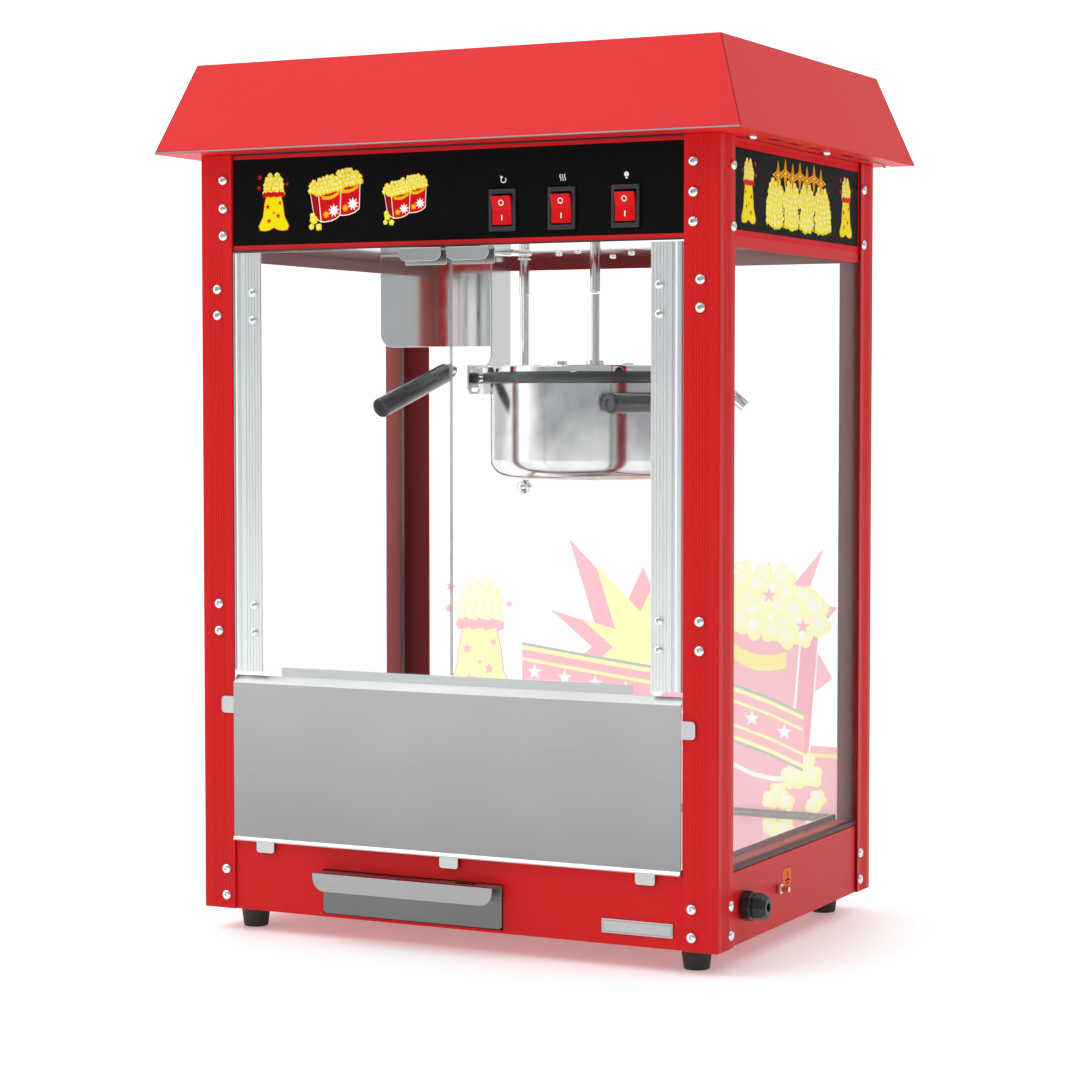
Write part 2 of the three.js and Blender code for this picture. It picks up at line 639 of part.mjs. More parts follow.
function addLid(kettle) {
  const low = RIM_LOW + RIM_H + GAP;
  const high = low + LID_H;
  const halfBridge = BRIDGE_W / 2;
  const disc = turned([[0, high - SHEET], [LID_R - SHEET, high - SHEET], [LID_R - SHEET, low],
    [LID_R, low], [LID_R, high - 1], [LID_R - 1, high], [0, high]], KETTLE_SIDES);
  const bore = rod([0, 0, low - 5], [0, 0, high + 20], SHAFT_R + 0.6, 20);
  const collar = rod([0, 0, high - SHEET], [0, 0, high + 5], SHAFT_R + 4, 20);
  const bridge = solid(disc).intersect(solid(block(-150, 150, -halfBridge, halfBridge, low - 1, high + 9)));
  piece(kettle, 'lid_bridge', geometryOf(bridge.add(solid(collar)).subtract(solid(bore))), polished);

  for (const [end, sy] of ENDS) {
    const edge = sy * (halfBridge + 0.8);
    const half = solid(disc).intersect(solid(block(-150, 150, edge, sy * 150, low - 1, high + 1)));
    const vents = [-38, 38].map((angle) => {
      const turn = new THREE.Matrix4().makeRotationZ(THREE.MathUtils.degToRad(angle));
      return rod([0, sy * 80, low], [0, sy * 110, low], 3.6, 12).applyMatrix4(turn);
    });
    const knob = rod([0, sy * LID_KNOB_Y, high - 0.4], [0, sy * LID_KNOB_Y, high + LID_KNOB_H], LID_KNOB_R, 16);
    const flap = vents.reduce((whole, vent) => whole.subtract(solid(vent)), half).add(solid(knob));
    piece(kettle, `lid_flap_${end}`, geometryOf(flap), polished);
  }
}

function addStirrer(kettle) {
  const bottom = POT_LOW + 2 * SHEET + 5 + RUN;
  const blade = PAN_R - POT_CORNER - 4;
  const stirrer = join(
    rod([0, 0, bottom], [0, 0, SHAFT_UP], SHAFT_R),
    rod([0, 0, bottom], [0, 0, bottom + 16], SHAFT_R + 3.5),
    flatBar([-blade, 0, bottom + 5], [blade, 0, bottom + 5], 10, 2),
    flatBar([0, -blade, bottom + 5], [0, blade, bottom + 5], 2, 10));
  piece(kettle, 'stirrer', stirrer, polished);
}

function addKettleHandles(kettle) {
  const outside = LUG_X + PLATE_T + 3 + GAP;
  const gripFrom = [-outside - 30, -15, 6];
  const gripTo = [-outside - 51, -101, -27];
  const hub = rod([-outside, 0, 0], [-outside - 3, 0, 0], 9);
  const socket = rod(beyond(gripFrom, gripTo, 6), beyond(gripFrom, gripTo, GAP), 6.5);
  const bar = flatBar([-outside - 1.5, -1, 1], beyond(gripFrom, gripTo, 5), 10, 3);
  piece(kettle, 'tilt_lever', join(hub, bar, socket), polished);
  piece(kettle, 'tilt_grip', rod(gripFrom, gripTo, GRIP_R, 24), blackPlastic);

  const arm = prismX(shapeOf([[-9, 5], [7, 6], [7, -6], [-14, -28], [-34, -28], [-34, -16], [-19, -15]]),
    outside, outside + 3);
  const carryTip = [outside + 1.5, -25, -22];
  const carryFrom = [outside - 12.2, -34, -22];
  const carryTo = [outside - 44.5, -120, -22];
  const end = rod([outside + 3.4, 0, -2], [outside + 32, 0, -26], 5.5);
  const ferrule = rod(beyond(carryFrom, carryTo, 7), beyond(carryFrom, carryTo, GAP), 6.5);
  const spigot = rod(carryTip, beyond(carryFrom, carryTo, 4.5), 3);
  piece(kettle, 'carry_bracket', join(arm, spigot, ferrule, end), polished);
  piece(kettle, 'carry_grip', rod(carryFrom, carryTo, GRIP_R, 24), blackPlastic);
}

function addKettle(parent) {
  const kettle = group(parent, KETTLE_X, 0, PIVOT_Z);
  addKettlePan(kettle);
  addLid(kettle);
  addStirrer(kettle);
  addKettleHandles(kettle);
}

// ---------------------------------------------------------------- hangers and drive

function addHangers(parent) {
  const top = Z_CEILING - GAP - PIVOT_Z;
  const back = HANGER_BACK + HANGER_W;
  const outline = shapeOf([[-LUG_FRONT, -LUG_DOWN + 4], [-LUG_FRONT + 4, -LUG_DOWN], [back, -LUG_DOWN],
    [back, top], [HANGER_BACK, top], [HANGER_BACK, LUG_UP + 8], [HANGER_BACK - 8, LUG_UP],
    [-LUG_FRONT, LUG_UP]]);
  for (const [side, sx] of SIDES) {
    const near = sx * LUG_X;
    const far = sx * (LUG_X + PLATE_T);
    const plate = prismX(outline, Math.min(near, far), Math.max(near, far));
    const flange = block(far, sx * (LUG_X - HANGER_FLANGE), HANGER_BACK, back, top - PLATE_T, top);
    const bore = rod([sx * (LUG_X - 5), 0, 0], [sx * (LUG_X + 8), 0, 0], PIVOT_R + 0.5);
    const slot = block(near - 8, near + 8, -LUG_FRONT + 6, -LUG_FRONT + 20, -LUG_DOWN + 3, -LUG_DOWN + 6);
    piece(parent, `kettle_hanger_${side}`, cut(join(plate, flange), bore, slot), polished, KETTLE_X, 0, PIVOT_Z);
  }
}

function addDrive(parent) {
  const low = PIVOT_Z + Math.hypot(SHAFT_UP, SHAFT_R) + 0.8;
  const sleeve = turned([[0, 0], [SLEEVE_R - 1, 0], [SLEEVE_R, 1],
    [SLEEVE_R, Z_CEILING + SHEET - low], [0, Z_CEILING + SHEET - low]], 20);
  piece(parent, 'drive_sleeve', sleeve, polished, KETTLE_X, 0, low);
  const motor = join(
    block(-34, 34, -28, 28, 0, 28),
    turned([[0, 27], [26, 27], [26, 62], [20, 66], [0, 66]], 24));
  piece(parent, 'gear_motor', motor, motorCoat, KETTLE_X, 0, Z_CEILING + SHEET + GAP);
}

// ---------------------------------------------------------------- lamp and rear rod

function addLamp(parent) {
  const top = Z_CEILING - GAP;
  const shield = join(
    prismY(dropShape(-SHIELD_W / 2, SHIELD_W / 2, top - SHIELD_H, top, SHIELD_CORNER), 0, SHEET),
    block(-SHIELD_W / 2, SHIELD_W / 2, 0, SHIELD_FLANGE, top - SHEET, top));
  piece(parent, 'lamp_shield', shield, polished, SHIELD_X, SHIELD_Y);
  const holder = turned([[0, top - 24], [13, top - 24], [16, top - 20], [16, top - 2],
    [LAMP_R, top], [0, top]], 20);
  piece(parent, 'lamp_holder', holder, ceramic, LAMP_X, LAMP_Y);
  const neck = top - 24 - GAP;
  const bulb = turned([[0, neck - 52], ...arcPoints(0, neck - 32, LAMP_R, -1.4, 0.9, 7), [9, neck - 6],
    [9, neck], [0, neck]], 20);
  piece(parent, 'lamp_bulb', bulb, clear, LAMP_X, LAMP_Y);
}

function addRearRod(parent) {
  const top = Z_CEILING - GAP;
  const rearRod = turned([[0, BALL_Z - BALL_R], ...arcPoints(0, BALL_Z, BALL_R, -1.3, 0.9, 7),
    [ROD_R, BALL_Z + 7], [ROD_R, top - ROD_HEAD_L],
    [ROD_R + ROD_HEAD, top - ROD_HEAD_L], [ROD_R + ROD_HEAD, top], [0, top]], 20);
  piece(parent, 'rear_rod', rearRod, polished, ROD_X, ROD_Y);
}

// ---------------------------------------------------------------- switches and cord inlet

function addSwitches(parent) {
  SWITCH_X.forEach((x, index) => {
    const spot = group(parent, x, 0, Z_SWITCH);
    const face = -SKIN_Y - GAP;
    const holeX = ROCKER_W / 2 + 0.5;
    const holeZ = SWITCH_H / 2 - 4.1;
    const body = cut(
      join(
        block(-SWITCH_W / 2, SWITCH_W / 2, face - 2.6, face, -SWITCH_H / 2, SWITCH_H / 2),
        block(-holeX - 0.9, holeX + 0.9, face - 1, face + 20, -holeZ - 1.3, holeZ + 1.3)),
      block(-holeX, holeX, face - 5, face + 16, -holeZ, holeZ));
    piece(spot, `switch_body_${index + 1}`, body, blackPlastic);

    const bend = 4.3;
    const half = 12.6;
    const rise = (half - 0.7) * Math.tan(THREE.MathUtils.degToRad(ROCKER_ANGLE));
    const section = shapeOf([[-bend, -half], [2, -9], [4, 0], [2, 9], [-bend - rise, half - 0.7],
      [-bend, 0]]);
    const rocker = prismX(section, -ROCKER_W / 2, ROCKER_W / 2);
    piece(spot, `switch_rocker_${index + 1}`, rocker, redPlastic, 0, face + 1.5);
  });
}

function addInlet(parent) {
  const gland = turned([[4, 0], [12.8, 0], [12.8, 8], [11.2, 9], [11.2, 10.5], [12.2, 11.5], [11.2, 18],
    [8, 22], [4, 22], [4, 0]], 8).rotateY(Math.PI / 2);
  const tube = turned([[4, 0], [9, 0], [9, 12], [4, 12], [4, 0]], 24).rotateY(Math.PI / 2);
  piece(parent, 'cable_gland', join(gland, tube), blackPlastic, SKIN_X + GAP, -HD + 61, FOOT_H + 31);
  const stud = turned([[0, 0], [4.6, 0], [4.6, 3], [2.6, 3], [2.6, 10], [0, 10]], 12).rotateY(Math.PI / 2);
  piece(parent, 'earth_stud', stud, brass, SKIN_X + GAP, -HD + 138, FOOT_H + 33);
}

// ---------------------------------------------------------------- assembly

const cabinet = group(popcornMaker);
addFeet(cabinet);
addBase(cabinet);
addPosts(cabinet);
addHeader(cabinet);
addCeiling(cabinet);
addRoof(cabinet);
addWindows(cabinet);
addDoorCatch(cabinet);
addHangers(cabinet);
addDrive(cabinet);
addLamp(cabinet);
addRearRod(cabinet);
addSwitches(cabinet);
addInlet(cabinet);
for (const [side, sx] of SIDES) {
  addHingeRail(cabinet, side, sx);
  addDoor(popcornMaker, side, sx);
}
addDeckTray(popcornMaker);
addDrawer(popcornMaker);
addKettle(popcornMaker);

export default popcornMaker;
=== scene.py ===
# %% [markdown]
# # A countertop popcorn maker
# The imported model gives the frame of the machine: posts, panels, panes, kettle and drawer, each
# in its true place. This lesson gives those parts their finish, and adds what a machine carries
# on top of its frame: folded edges, screws, printed labels, glazing strips and a printed pane.

# %% Load the frame
import math
import random
import json

import bpy
import bmesh
from mathutils import Matrix, Vector


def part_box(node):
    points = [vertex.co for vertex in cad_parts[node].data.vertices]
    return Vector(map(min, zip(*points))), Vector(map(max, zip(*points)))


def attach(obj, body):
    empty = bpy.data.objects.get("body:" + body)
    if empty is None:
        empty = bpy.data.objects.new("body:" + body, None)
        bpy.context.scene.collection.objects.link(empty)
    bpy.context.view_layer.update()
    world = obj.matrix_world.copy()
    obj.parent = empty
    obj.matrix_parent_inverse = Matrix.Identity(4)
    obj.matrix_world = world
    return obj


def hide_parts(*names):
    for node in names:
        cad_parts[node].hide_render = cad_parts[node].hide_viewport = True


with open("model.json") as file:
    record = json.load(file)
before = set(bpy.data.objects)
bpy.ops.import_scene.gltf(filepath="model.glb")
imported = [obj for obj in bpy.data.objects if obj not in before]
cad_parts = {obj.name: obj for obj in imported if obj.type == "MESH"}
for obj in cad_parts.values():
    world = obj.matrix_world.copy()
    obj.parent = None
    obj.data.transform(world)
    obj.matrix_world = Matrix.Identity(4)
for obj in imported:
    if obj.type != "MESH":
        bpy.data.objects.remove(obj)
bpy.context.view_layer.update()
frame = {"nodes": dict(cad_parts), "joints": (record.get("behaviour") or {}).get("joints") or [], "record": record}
body_of_node = {n: body for body, members in frame["record"]["behaviour"]["bodies"].items()
                for n in members}
MM = 0.001
SIDES = (("left", -1), ("right", 1))
ENDS = (("front", -1), ("back", 1))
print("nodes in the frame:", len(frame["nodes"]))

# %% [markdown]
# The camera comes first. It stands at the right front, a little below the middle of the machine's
# height, with a long lens, so the upright lines stay upright.

# %% Camera
scene = bpy.context.scene
scene.view_settings.view_transform = "Standard"
camera_data = bpy.data.cameras.new("studio_camera")
camera_data.sensor_width = 36
camera_data.lens = 92.9
camera_data.clip_end = 30
camera = bpy.data.objects.new("studio_camera", camera_data)
camera.location = (1.1413, -2.2743, 0.4726)
camera.rotation_euler = (math.radians(90 - 2.87), math.radians(0.0), math.radians(26.68))
scene.collection.objects.link(camera)
scene.camera = camera
print("camera stands", round(camera.location.length, 2), "m from the machine's foot")

# %% [markdown]
# A pale floor and a white room light the machine from all around. Bright metal shows only what it
# reflects, so the room is not the same white everywhere: it is greyer low down and behind the
# camera, which draws the soft bands along the kettle.

# %% Floor, room and lamps
def linear(hex_code):
    """An sRGB hex colour as the linear RGBA that a shader wants."""
    channels = [int(hex_code[i:i + 2], 16) / 255 for i in (1, 3, 5)]
    return [c / 12.92 if c <= 0.04045 else ((c + 0.055) / 1.055) ** 2.4 for c in channels] + [1.0]


def add_node(tree, kind, inputs=None, **settings):
    """Adds one node. Settings are its attributes; an input is a value or another node's socket."""
    made = tree.nodes.new(kind)
    for name, value in settings.items():
        setattr(made, name, value)
    for socket, value in (inputs or {}).items():
        if isinstance(value, bpy.types.NodeSocket):
            tree.links.new(value, made.inputs[socket])
        else:
            made.inputs[socket].default_value = value
    return made


def add_lamp(name, place, target, size, power):
    data = bpy.data.lights.new(name, "AREA")
    data.shape = "RECTANGLE"
    data.size, data.size_y = size
    data.energy = power
    lamp = bpy.data.objects.new(name, data)
    lamp.location = place
    lamp.rotation_euler = (Vector(target) - Vector(place)).to_track_quat("-Z", "Y").to_euler()
    scene.collection.objects.link(lamp)


# Both walls run from behind the camera (0) to behind the machine (1).
WALL_PLACES = (0.0, 0.27, 0.40, 0.66, 0.77, 0.90, 0.955, 1.0)
RIGHT_WALL = "#989A9C #939496 #A6A7A8 #C0C1C1 #BCBDBD #BCBDBD #FFFFFF #FFFFFF".split()
LEFT_WALL = "#989A9C #989A9C #FFFFFF #FFFFFF #C1C2C2 #BCBDBD #FFFFFF #FFFFFF".split()
AWAY = (-0.449, 0.894, 0)
LEFTWARD = (-0.894, -0.449, 0)


def make_room():
    """White behind the machine and beside it on the left, grey behind the camera, bright overhead."""
    world = bpy.data.worlds.new("white_room")
    world.use_nodes = True
    tree = world.node_tree
    tree.nodes.clear()
    place = add_node(tree, "ShaderNodeTexCoord").outputs["Generated"]
    away = add_node(tree, "ShaderNodeVectorMath", {0: place, 1: AWAY}, operation="DOT_PRODUCT")
    leftward = add_node(tree, "ShaderNodeVectorMath", {0: place, 1: LEFTWARD}, operation="DOT_PRODUCT")
    depth = add_node(tree, "ShaderNodeMapRange", {"Value": away.outputs["Value"], "From Min": -1.0})
    side = add_node(tree, "ShaderNodeMapRange", {"Value": leftward.outputs["Value"], "From Min": -0.3,
                                                 "From Max": 0.3}, interpolation_type="SMOOTHSTEP")
    walls = []
    for tones in (RIGHT_WALL, LEFT_WALL):
        ramp = add_node(tree, "ShaderNodeValToRGB", {"Fac": depth.outputs["Result"]})
        keys = ramp.color_ramp.elements
        while len(keys) < len(tones):
            keys.new(0.5)
        for key, position, tone in zip(keys, WALL_PLACES, tones):
            key.position = position
            key.color = linear(tone)
        walls.append(ramp.outputs["Color"])
    shade = add_node(tree, "ShaderNodeMix", {"Factor": side.outputs["Result"], 6: walls[0], 7: walls[1]},
                     data_type="RGBA")
    split = add_node(tree, "ShaderNodeSeparateXYZ", {0: place})
    height = add_node(tree, "ShaderNodeMapRange", {"Value": split.outputs["Z"], "From Min": 0.3,
                                                   "From Max": 0.85, "To Min": 1.35, "To Max": 1.85},
                      interpolation_type="SMOOTHSTEP")
    back = add_node(tree, "ShaderNodeBackground", {"Color": shade.outputs[2],
                                                   "Strength": height.outputs["Result"]})
    add_node(tree, "ShaderNodeOutputWorld", {"Surface": back.outputs[0]})
    scene.world = world


make_room()
add_lamp("key_softbox", (-1.2, -2.2, 2.6), (0, 0, 0.5), (1.6, 1.4), 19)
add_lamp("low_fill", (-2.4, -1.4, 0.7), (0, 0, 0.4), (0.8, 1.4), 2)
add_lamp("roof_fill", (1.9, 0.1, 2.4), (0.28, 0, 0.73), (0.8, 0.8), 6)
print("lamps:", len(bpy.data.lights))

# %% [markdown]
# ## Finishes
# Each finish starts from what the real stuff is. A pattern is sized in millimetres through the
# Object coordinates, which are metres on every piece here.

# %% How a finish is built
EVEN = (1, 1, 1)


def make_finish(name, deep, light, rough, grains, relief=None, extra=None):
    """Builds a finish whose colour, roughness and relief each follow a noise.

    rough is one value, or the lowest and the highest. grains are noises for those three in turn, as
    (grain in mm, detail, stretch), where a small stretch draws the grain out along an axis. relief
    is (depth in mm, strength), and extra holds more inputs of the shader.
    """
    material = bpy.data.materials.new(name)
    material.use_nodes = True
    tree = material.node_tree
    tree.nodes.clear()
    place = add_node(tree, "ShaderNodeTexCoord").outputs["Object"]
    fields = []
    for grain_mm, detail, stretch in grains:
        turn = add_node(tree, "ShaderNodeMapping", {"Vector": place, "Scale": stretch})
        noise = add_node(tree, "ShaderNodeTexNoise", {"Vector": turn.outputs[0], "Detail": detail,
                                                      "Scale": 1 / (grain_mm * MM)})
        fields.append(noise.outputs["Fac"])
    tone, gloss, height = (fields * 3)[:3]
    colour = add_node(tree, "ShaderNodeMix", {"Factor": tone, 6: linear(deep), 7: linear(light)},
                      data_type="RGBA")
    inputs = {"Base Color": colour.outputs[2], "Roughness": rough}
    if isinstance(rough, tuple):
        spread = add_node(tree, "ShaderNodeMapRange", {"Value": gloss, "From Min": 0.3, "From Max": 0.7,
                                                       "To Min": rough[0], "To Max": rough[1]})
        inputs["Roughness"] = spread.outputs["Result"]
    if relief:
        bump = add_node(tree, "ShaderNodeBump", {"Height": height, "Distance": relief[0] * MM,
                                                 "Strength": relief[1]})
        inputs["Normal"] = bump.outputs["Normal"]
    shader = add_node(tree, "ShaderNodeBsdfPrincipled", {**inputs, **(extra or {})})
    add_node(tree, "ShaderNodeOutputMaterial", {"Surface": shader.outputs[0]})
    return material


# %% [markdown]
# Powder coat is baked polyester on steel. It flows almost flat, and leaves a faint orange peel a
# few millimetres across, so its gloss wavers a little. The coat mirrors little at a shallow angle,
# which keeps the red deep on the sides.

# %% Powder coat
def powder_coat(name, light, deep, gloss=0.36, shine=0.18):
    drift, peel = (180, 1.0, EVEN), (2.6, 2.0, EVEN)
    return make_finish(name, deep, light, (gloss, gloss + 0.07), [drift, peel, peel], (0.02, 0.35),
                       {"IOR": 1.48, "Specular IOR Level": shine})


red_coat = powder_coat("powder_coat_red", "#D0171A", "#C81417")
# A lighter copy of the same red coat for the roof: painted light on its upward slopes.
lit_roof_coat = powder_coat("powder_coat_red_roof_lit", "#E2282C", "#DE2529", 0.4, 0.2)
# A darker copy of the red coat: painted shade on faces that look into the cabinet. The hip seams use it as their
# dark joints.
inner_shade_and_seam_coat = powder_coat("powder_coat_red_shade_and_seam", "#8A1115", "#7A0E12")
# A darker copy for the vents under the roof: painted shade in the slots.
vent_shade_coat = powder_coat("powder_coat_red_vent_shade", "#7E1013", "#700C10", 0.5)

# %% [markdown]
# Brushed stainless steel is drawn under an abrasive belt. The belt leaves long fine lines one way,
# which spread a highlight across them. Real lines are a tenth of a millimetre apart; they are
# drawn coarser here, so that they show.

# %% Brushed and polished stainless steel
def brushed_steel(name, tone, along="X", rough=0.3):
    stretch = [0.012 if axis == along else 1 for axis in "XYZ"]
    deep = "#" + "".join(f"{max(0, int(tone[i:i + 2], 16) - 12):02X}" for i in (1, 3, 5))
    return make_finish(name, deep, tone, (rough, rough + 0.06), [(0.9, 3.0, stretch), (90, 1.0, EVEN)],
                       (0.015, 0.25), {"Metallic": 1.0, "Anisotropic": 0.5})


def polished_steel(name, tone, rough=0.07):
    return make_finish(name, tone, "#F2F3F3", (rough, rough + 0.05), [(24, 3.0, EVEN)], (0.03, 0.08),
                       {"Metallic": 1.0})


def paint_foot_reflection(material, reflected_foot_tone, foot_z, head_z):
    """Paints the colour darker towards the foot: a painted reflection of the base below."""
    tree = material.node_tree
    base = tree.nodes["Principled BSDF"].inputs["Base Color"]
    place = add_node(tree, "ShaderNodeTexCoord")
    split = add_node(tree, "ShaderNodeSeparateXYZ", {0: place.outputs["Object"]})
    rise = add_node(tree, "ShaderNodeMapRange", {"Value": split.outputs["Z"], "From Min": foot_z,
                                                 "From Max": head_z})
    shade = add_node(tree, "ShaderNodeMix", {"Factor": rise.outputs["Result"], 6: linear(reflected_foot_tone),
                                             7: base.links[0].from_socket}, data_type="RGBA")
    tree.links.new(shade.outputs[2], base)


panel_steel = brushed_steel("brushed_stainless_panel", "#B4B4B4")
# The panel is painted darker towards its foot, as a painted reflection of the base.
paint_foot_reflection(panel_steel, "#949494", 0.082, 0.223)
handle_steel = brushed_steel("brushed_stainless_handle", "#A9ABAA", rough=0.32)
plate_alloy = brushed_steel("brushed_badge_plate", "#BFC1C1", rough=0.34)
drawer_and_reflection_steel = brushed_steel("brushed_stainless_drawer_and_reflection", "#7C7C7C", rough=0.36)
# A brighter brushed steel for runners and pulls, also laid on the tray's tabs, ledge and hem as a painted
# highlight.
trim_and_highlight_steel = brushed_steel("brushed_stainless_trim_and_highlight", "#C6C8C8", rough=0.26)
mirror_steel = polished_steel("mirror_stainless", "#ECEDED", rough=0.05)
kettle_steel = polished_steel("spun_stainless_kettle", "#BEBEC0", rough=0.13)
rim_steel = brushed_steel("dark_rim_steel", "#5E615F", along="Z", rough=0.3)
deck_steel = polished_steel("deck_stainless", "#F4F4F4", rough=0.03)

# %% [markdown]
# Aluminium profile is pushed through a die and then satin anodised. It is the palest metal here,
# with die lines along its length.

# %% Anodised aluminium, brass and cast aluminium
profile_alloy = brushed_steel("satin_anodised_aluminium", "#EDEFEF", along="Z", rough=0.34)
turned_brass = polished_steel("turned_brass", "#B98A3E", rough=0.22)
cast_alloy = brushed_steel("cast_aluminium_motor", "#8B8E92", along="Y", rough=0.5)

# %% [markdown]
# The mouldings: EPDM rubber feet are dull and a little dusty, the grips are glossy phenolic resin,
# the switch frames satin ABS, and the rockers red polycarbonate with little shine.

# %% Rubber, resin and plastics
def moulding(name, light, deep, rough, grain_mm, depth_mm, coat=0.0, shine=0.5):
    return make_finish(name, deep, light, (rough, rough + 0.08), [(grain_mm, 3.0, EVEN)], (depth_mm, 0.5),
                       {"Coat Weight": coat, "Coat Roughness": 0.08, "Specular IOR Level": shine})


rubber_and_shadow_strip = moulding("epdm_rubber_and_shadow_strip", "#29292B", "#1A1A1B", 0.55, 1.2, 0.05)
grip_resin = moulding("phenolic_grip", "#322F38", "#28252D", 0.2, 6.0, 0.01, coat=0.3)
switch_abs = moulding("satin_abs_black", "#26272B", "#1C1D20", 0.38, 0.8, 0.02)
gland_nylon = moulding("nylon_gland", "#232325", "#17171A", 0.3, 1.0, 0.02)
rocker_red = moulding("polycarbonate_rocker", "#DB161C", "#C91016", 0.24, 5.0, 0.005, shine=0.1)
glazing_strip = moulding("glazing_strip_brown", "#4C2628", "#3C1C1F", 0.45, 2.0, 0.02)
lamp_ceramic = moulding("glazed_ceramic", "#F1EFE7", "#E4E1D6", 0.25, 3.0, 0.02)

# %% [markdown]
# The panes are 3 mm clear sheet. Seen straight on they all but vanish; at a shallow angle they
# mirror the room. That is a Fresnel effect, so it also drives how solid the surface is. A cut edge
# looks darker, because the light that enters there has crossed much more of the sheet.

# %% Clear sheet
def clear_sheet(name, tint, least, most):
    material = make_finish(name, tint, "#D8DEDC", 0.03, [(140, 1.0, EVEN)], extra={"IOR": 1.5})
    tree = material.node_tree
    facing = add_node(tree, "ShaderNodeLayerWeight", {"Blend": 0.18})
    solid = add_node(tree, "ShaderNodeMapRange", {"Value": facing.outputs["Fresnel"], "From Min": 0.05,
                                                  "From Max": 0.9, "To Min": least, "To Max": most})
    tree.links.new(solid.outputs["Result"], tree.nodes["Principled BSDF"].inputs["Alpha"])
    material.surface_render_method = "BLENDED"
    return material


pane_clear = clear_sheet("clear_sheet", "#D4DAD8", 0.004, 0.2)
pane_edge = clear_sheet("clear_sheet_edge", "#56625F", 0.7, 0.9)
bulb_glass = clear_sheet("bulb_glass", "#FFF3DC", 0.35, 0.8)

# %% [markdown]
# Label inks are screen-printed on a polyester film, so the film is glossy and the inks are flat,
# solid colours with the slightest unevenness.

# %% Inks
INK_IOR = 1.2  # Low, so that a flat ink doesn't wash out at a shallow angle.
PANE_GLOW = 0.5


def ink(name, light, deep, rough=0.3, glow=0.0, shine=0.2):
    """A glow of its own colour stands for the light that a thin ink lets through."""
    return make_finish(name, deep, light, (rough, rough + 0.05), [(14, 2.0, EVEN)], None,
                       {"Specular IOR Level": shine, "IOR": INK_IOR, "Emission Color": linear(light),
                        "Emission Strength": glow})


INK_TONES = {"white": ("#FCFBF7", "#F4F2EC"), "yellow": ("#F3E516", "#ECDC0E"),
             "butter": ("#FBF584", "#F6ED68"), "amber": ("#F5C414", "#EDB70C"),
             "red": ("#D8141F", "#CC0E18"), "deep_red": ("#A80F1A", "#9A0B15"),
             "grey": ("#8E948F", "#868C87")}
# The same inks thinned on clear sheet, where white light fills them and turns them pale.
PANE_TONES = {"white": ("#FFFFFF", "#FCFCFA"), "yellow": ("#FFFEC2", "#FFFDB8"),
              "butter": ("#FDFDE2", "#FCFCD8"), "amber": ("#FEF4A4", "#FCF098"),
              "red": ("#FCC4CC", "#FABCC5"), "deep_red": ("#F8B6C0", "#F5AEB9"),
              "grey": ("#C4CAC8", "#BCC2C0")}
INKS = {"film": ink("label_film_black", "#141414", "#101010", rough=0.25, shine=0.1)}
INKS.update({name: ink(f"ink_{name}", *tones) for name, tones in INK_TONES.items()})
PANE_INKS = {name: ink(f"pane_ink_{name}", *tones, glow=PANE_GLOW) for name, tones in PANE_TONES.items()}
tag_orange = ink("tag_orange", "#F3700C", "#EA6408")
print("finishes:", len(bpy.data.materials))

# %% [markdown]
# ## From frame to finished sheet metal
# The frame's nodes have the right shape and size, but their edges are perfectly sharp, and no bent
# or sawn edge is. Each is copied, its loose triangles merged, its flat faces made whole, and its
# edges rounded by a fraction of a millimetre, so that they catch the light.

# %% Finish a node
def link(mesh, name):
    made = bpy.data.objects.new(name, mesh)
    scene.collection.objects.link(made)
    return made


def smooth_by_angle(mesh, degrees):
    mesh.shade_smooth()
    mesh.set_sharp_from_angle(angle=math.radians(degrees))


def apply_modifiers(piece):
    """Turns a piece with modifiers into a plain mesh."""
    bpy.context.view_layer.update()
    graph = bpy.context.evaluated_depsgraph_get()
    mesh = bpy.data.meshes.new_from_object(piece.evaluated_get(graph))
    piece.modifiers.clear()
    piece.data = mesh
    return piece


def merged_copy(node, cuts=()):
    """The node's mesh with whole flat faces, cut through on each plane of (point, normal)."""
    mesh = frame["nodes"][node].data.copy()
    work = bmesh.new()
    work.from_mesh(mesh)
    bmesh.ops.remove_doubles(work, verts=work.verts, dist=1e-6)
    bmesh.ops.dissolve_limit(work, angle_limit=math.radians(0.5), verts=work.verts, edges=work.edges)
    for point, normal in cuts:
        bmesh.ops.bisect_plane(work, geom=[*work.verts, *work.edges, *work.faces],
                               plane_co=point, plane_no=normal)
    work.to_mesh(mesh)
    work.free()
    mesh.materials.clear()
    return mesh


def stand_for(piece, node):
    """The piece takes the place and body of the node that it finishes."""
    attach(piece, body_of_node[node])
    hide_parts(node)
    return piece


BEVEL_ANGLE = math.radians(30)


def finish_node(node, material, round_mm, cuts=()):
    mesh = merged_copy(node, cuts)
    piece = link(mesh, node + ".finished")
    mesh.materials.append(material)
    edge = piece.modifiers.new("edge", "BEVEL")
    edge.width = round_mm * MM
    edge.segments = 2
    edge.limit_method = "ANGLE"
    edge.angle_limit = BEVEL_ANGLE
    edge.miter_outer = "MITER_ARC"
    edge.use_clamp_overlap = True
    edge.harden_normals = True
    smooth_by_angle(mesh, 34)
    level = piece.modifiers.new("level", "WEIGHTED_NORMAL")
    level.keep_sharp = True
    apply_modifiers(piece)
    return stand_for(piece, node)


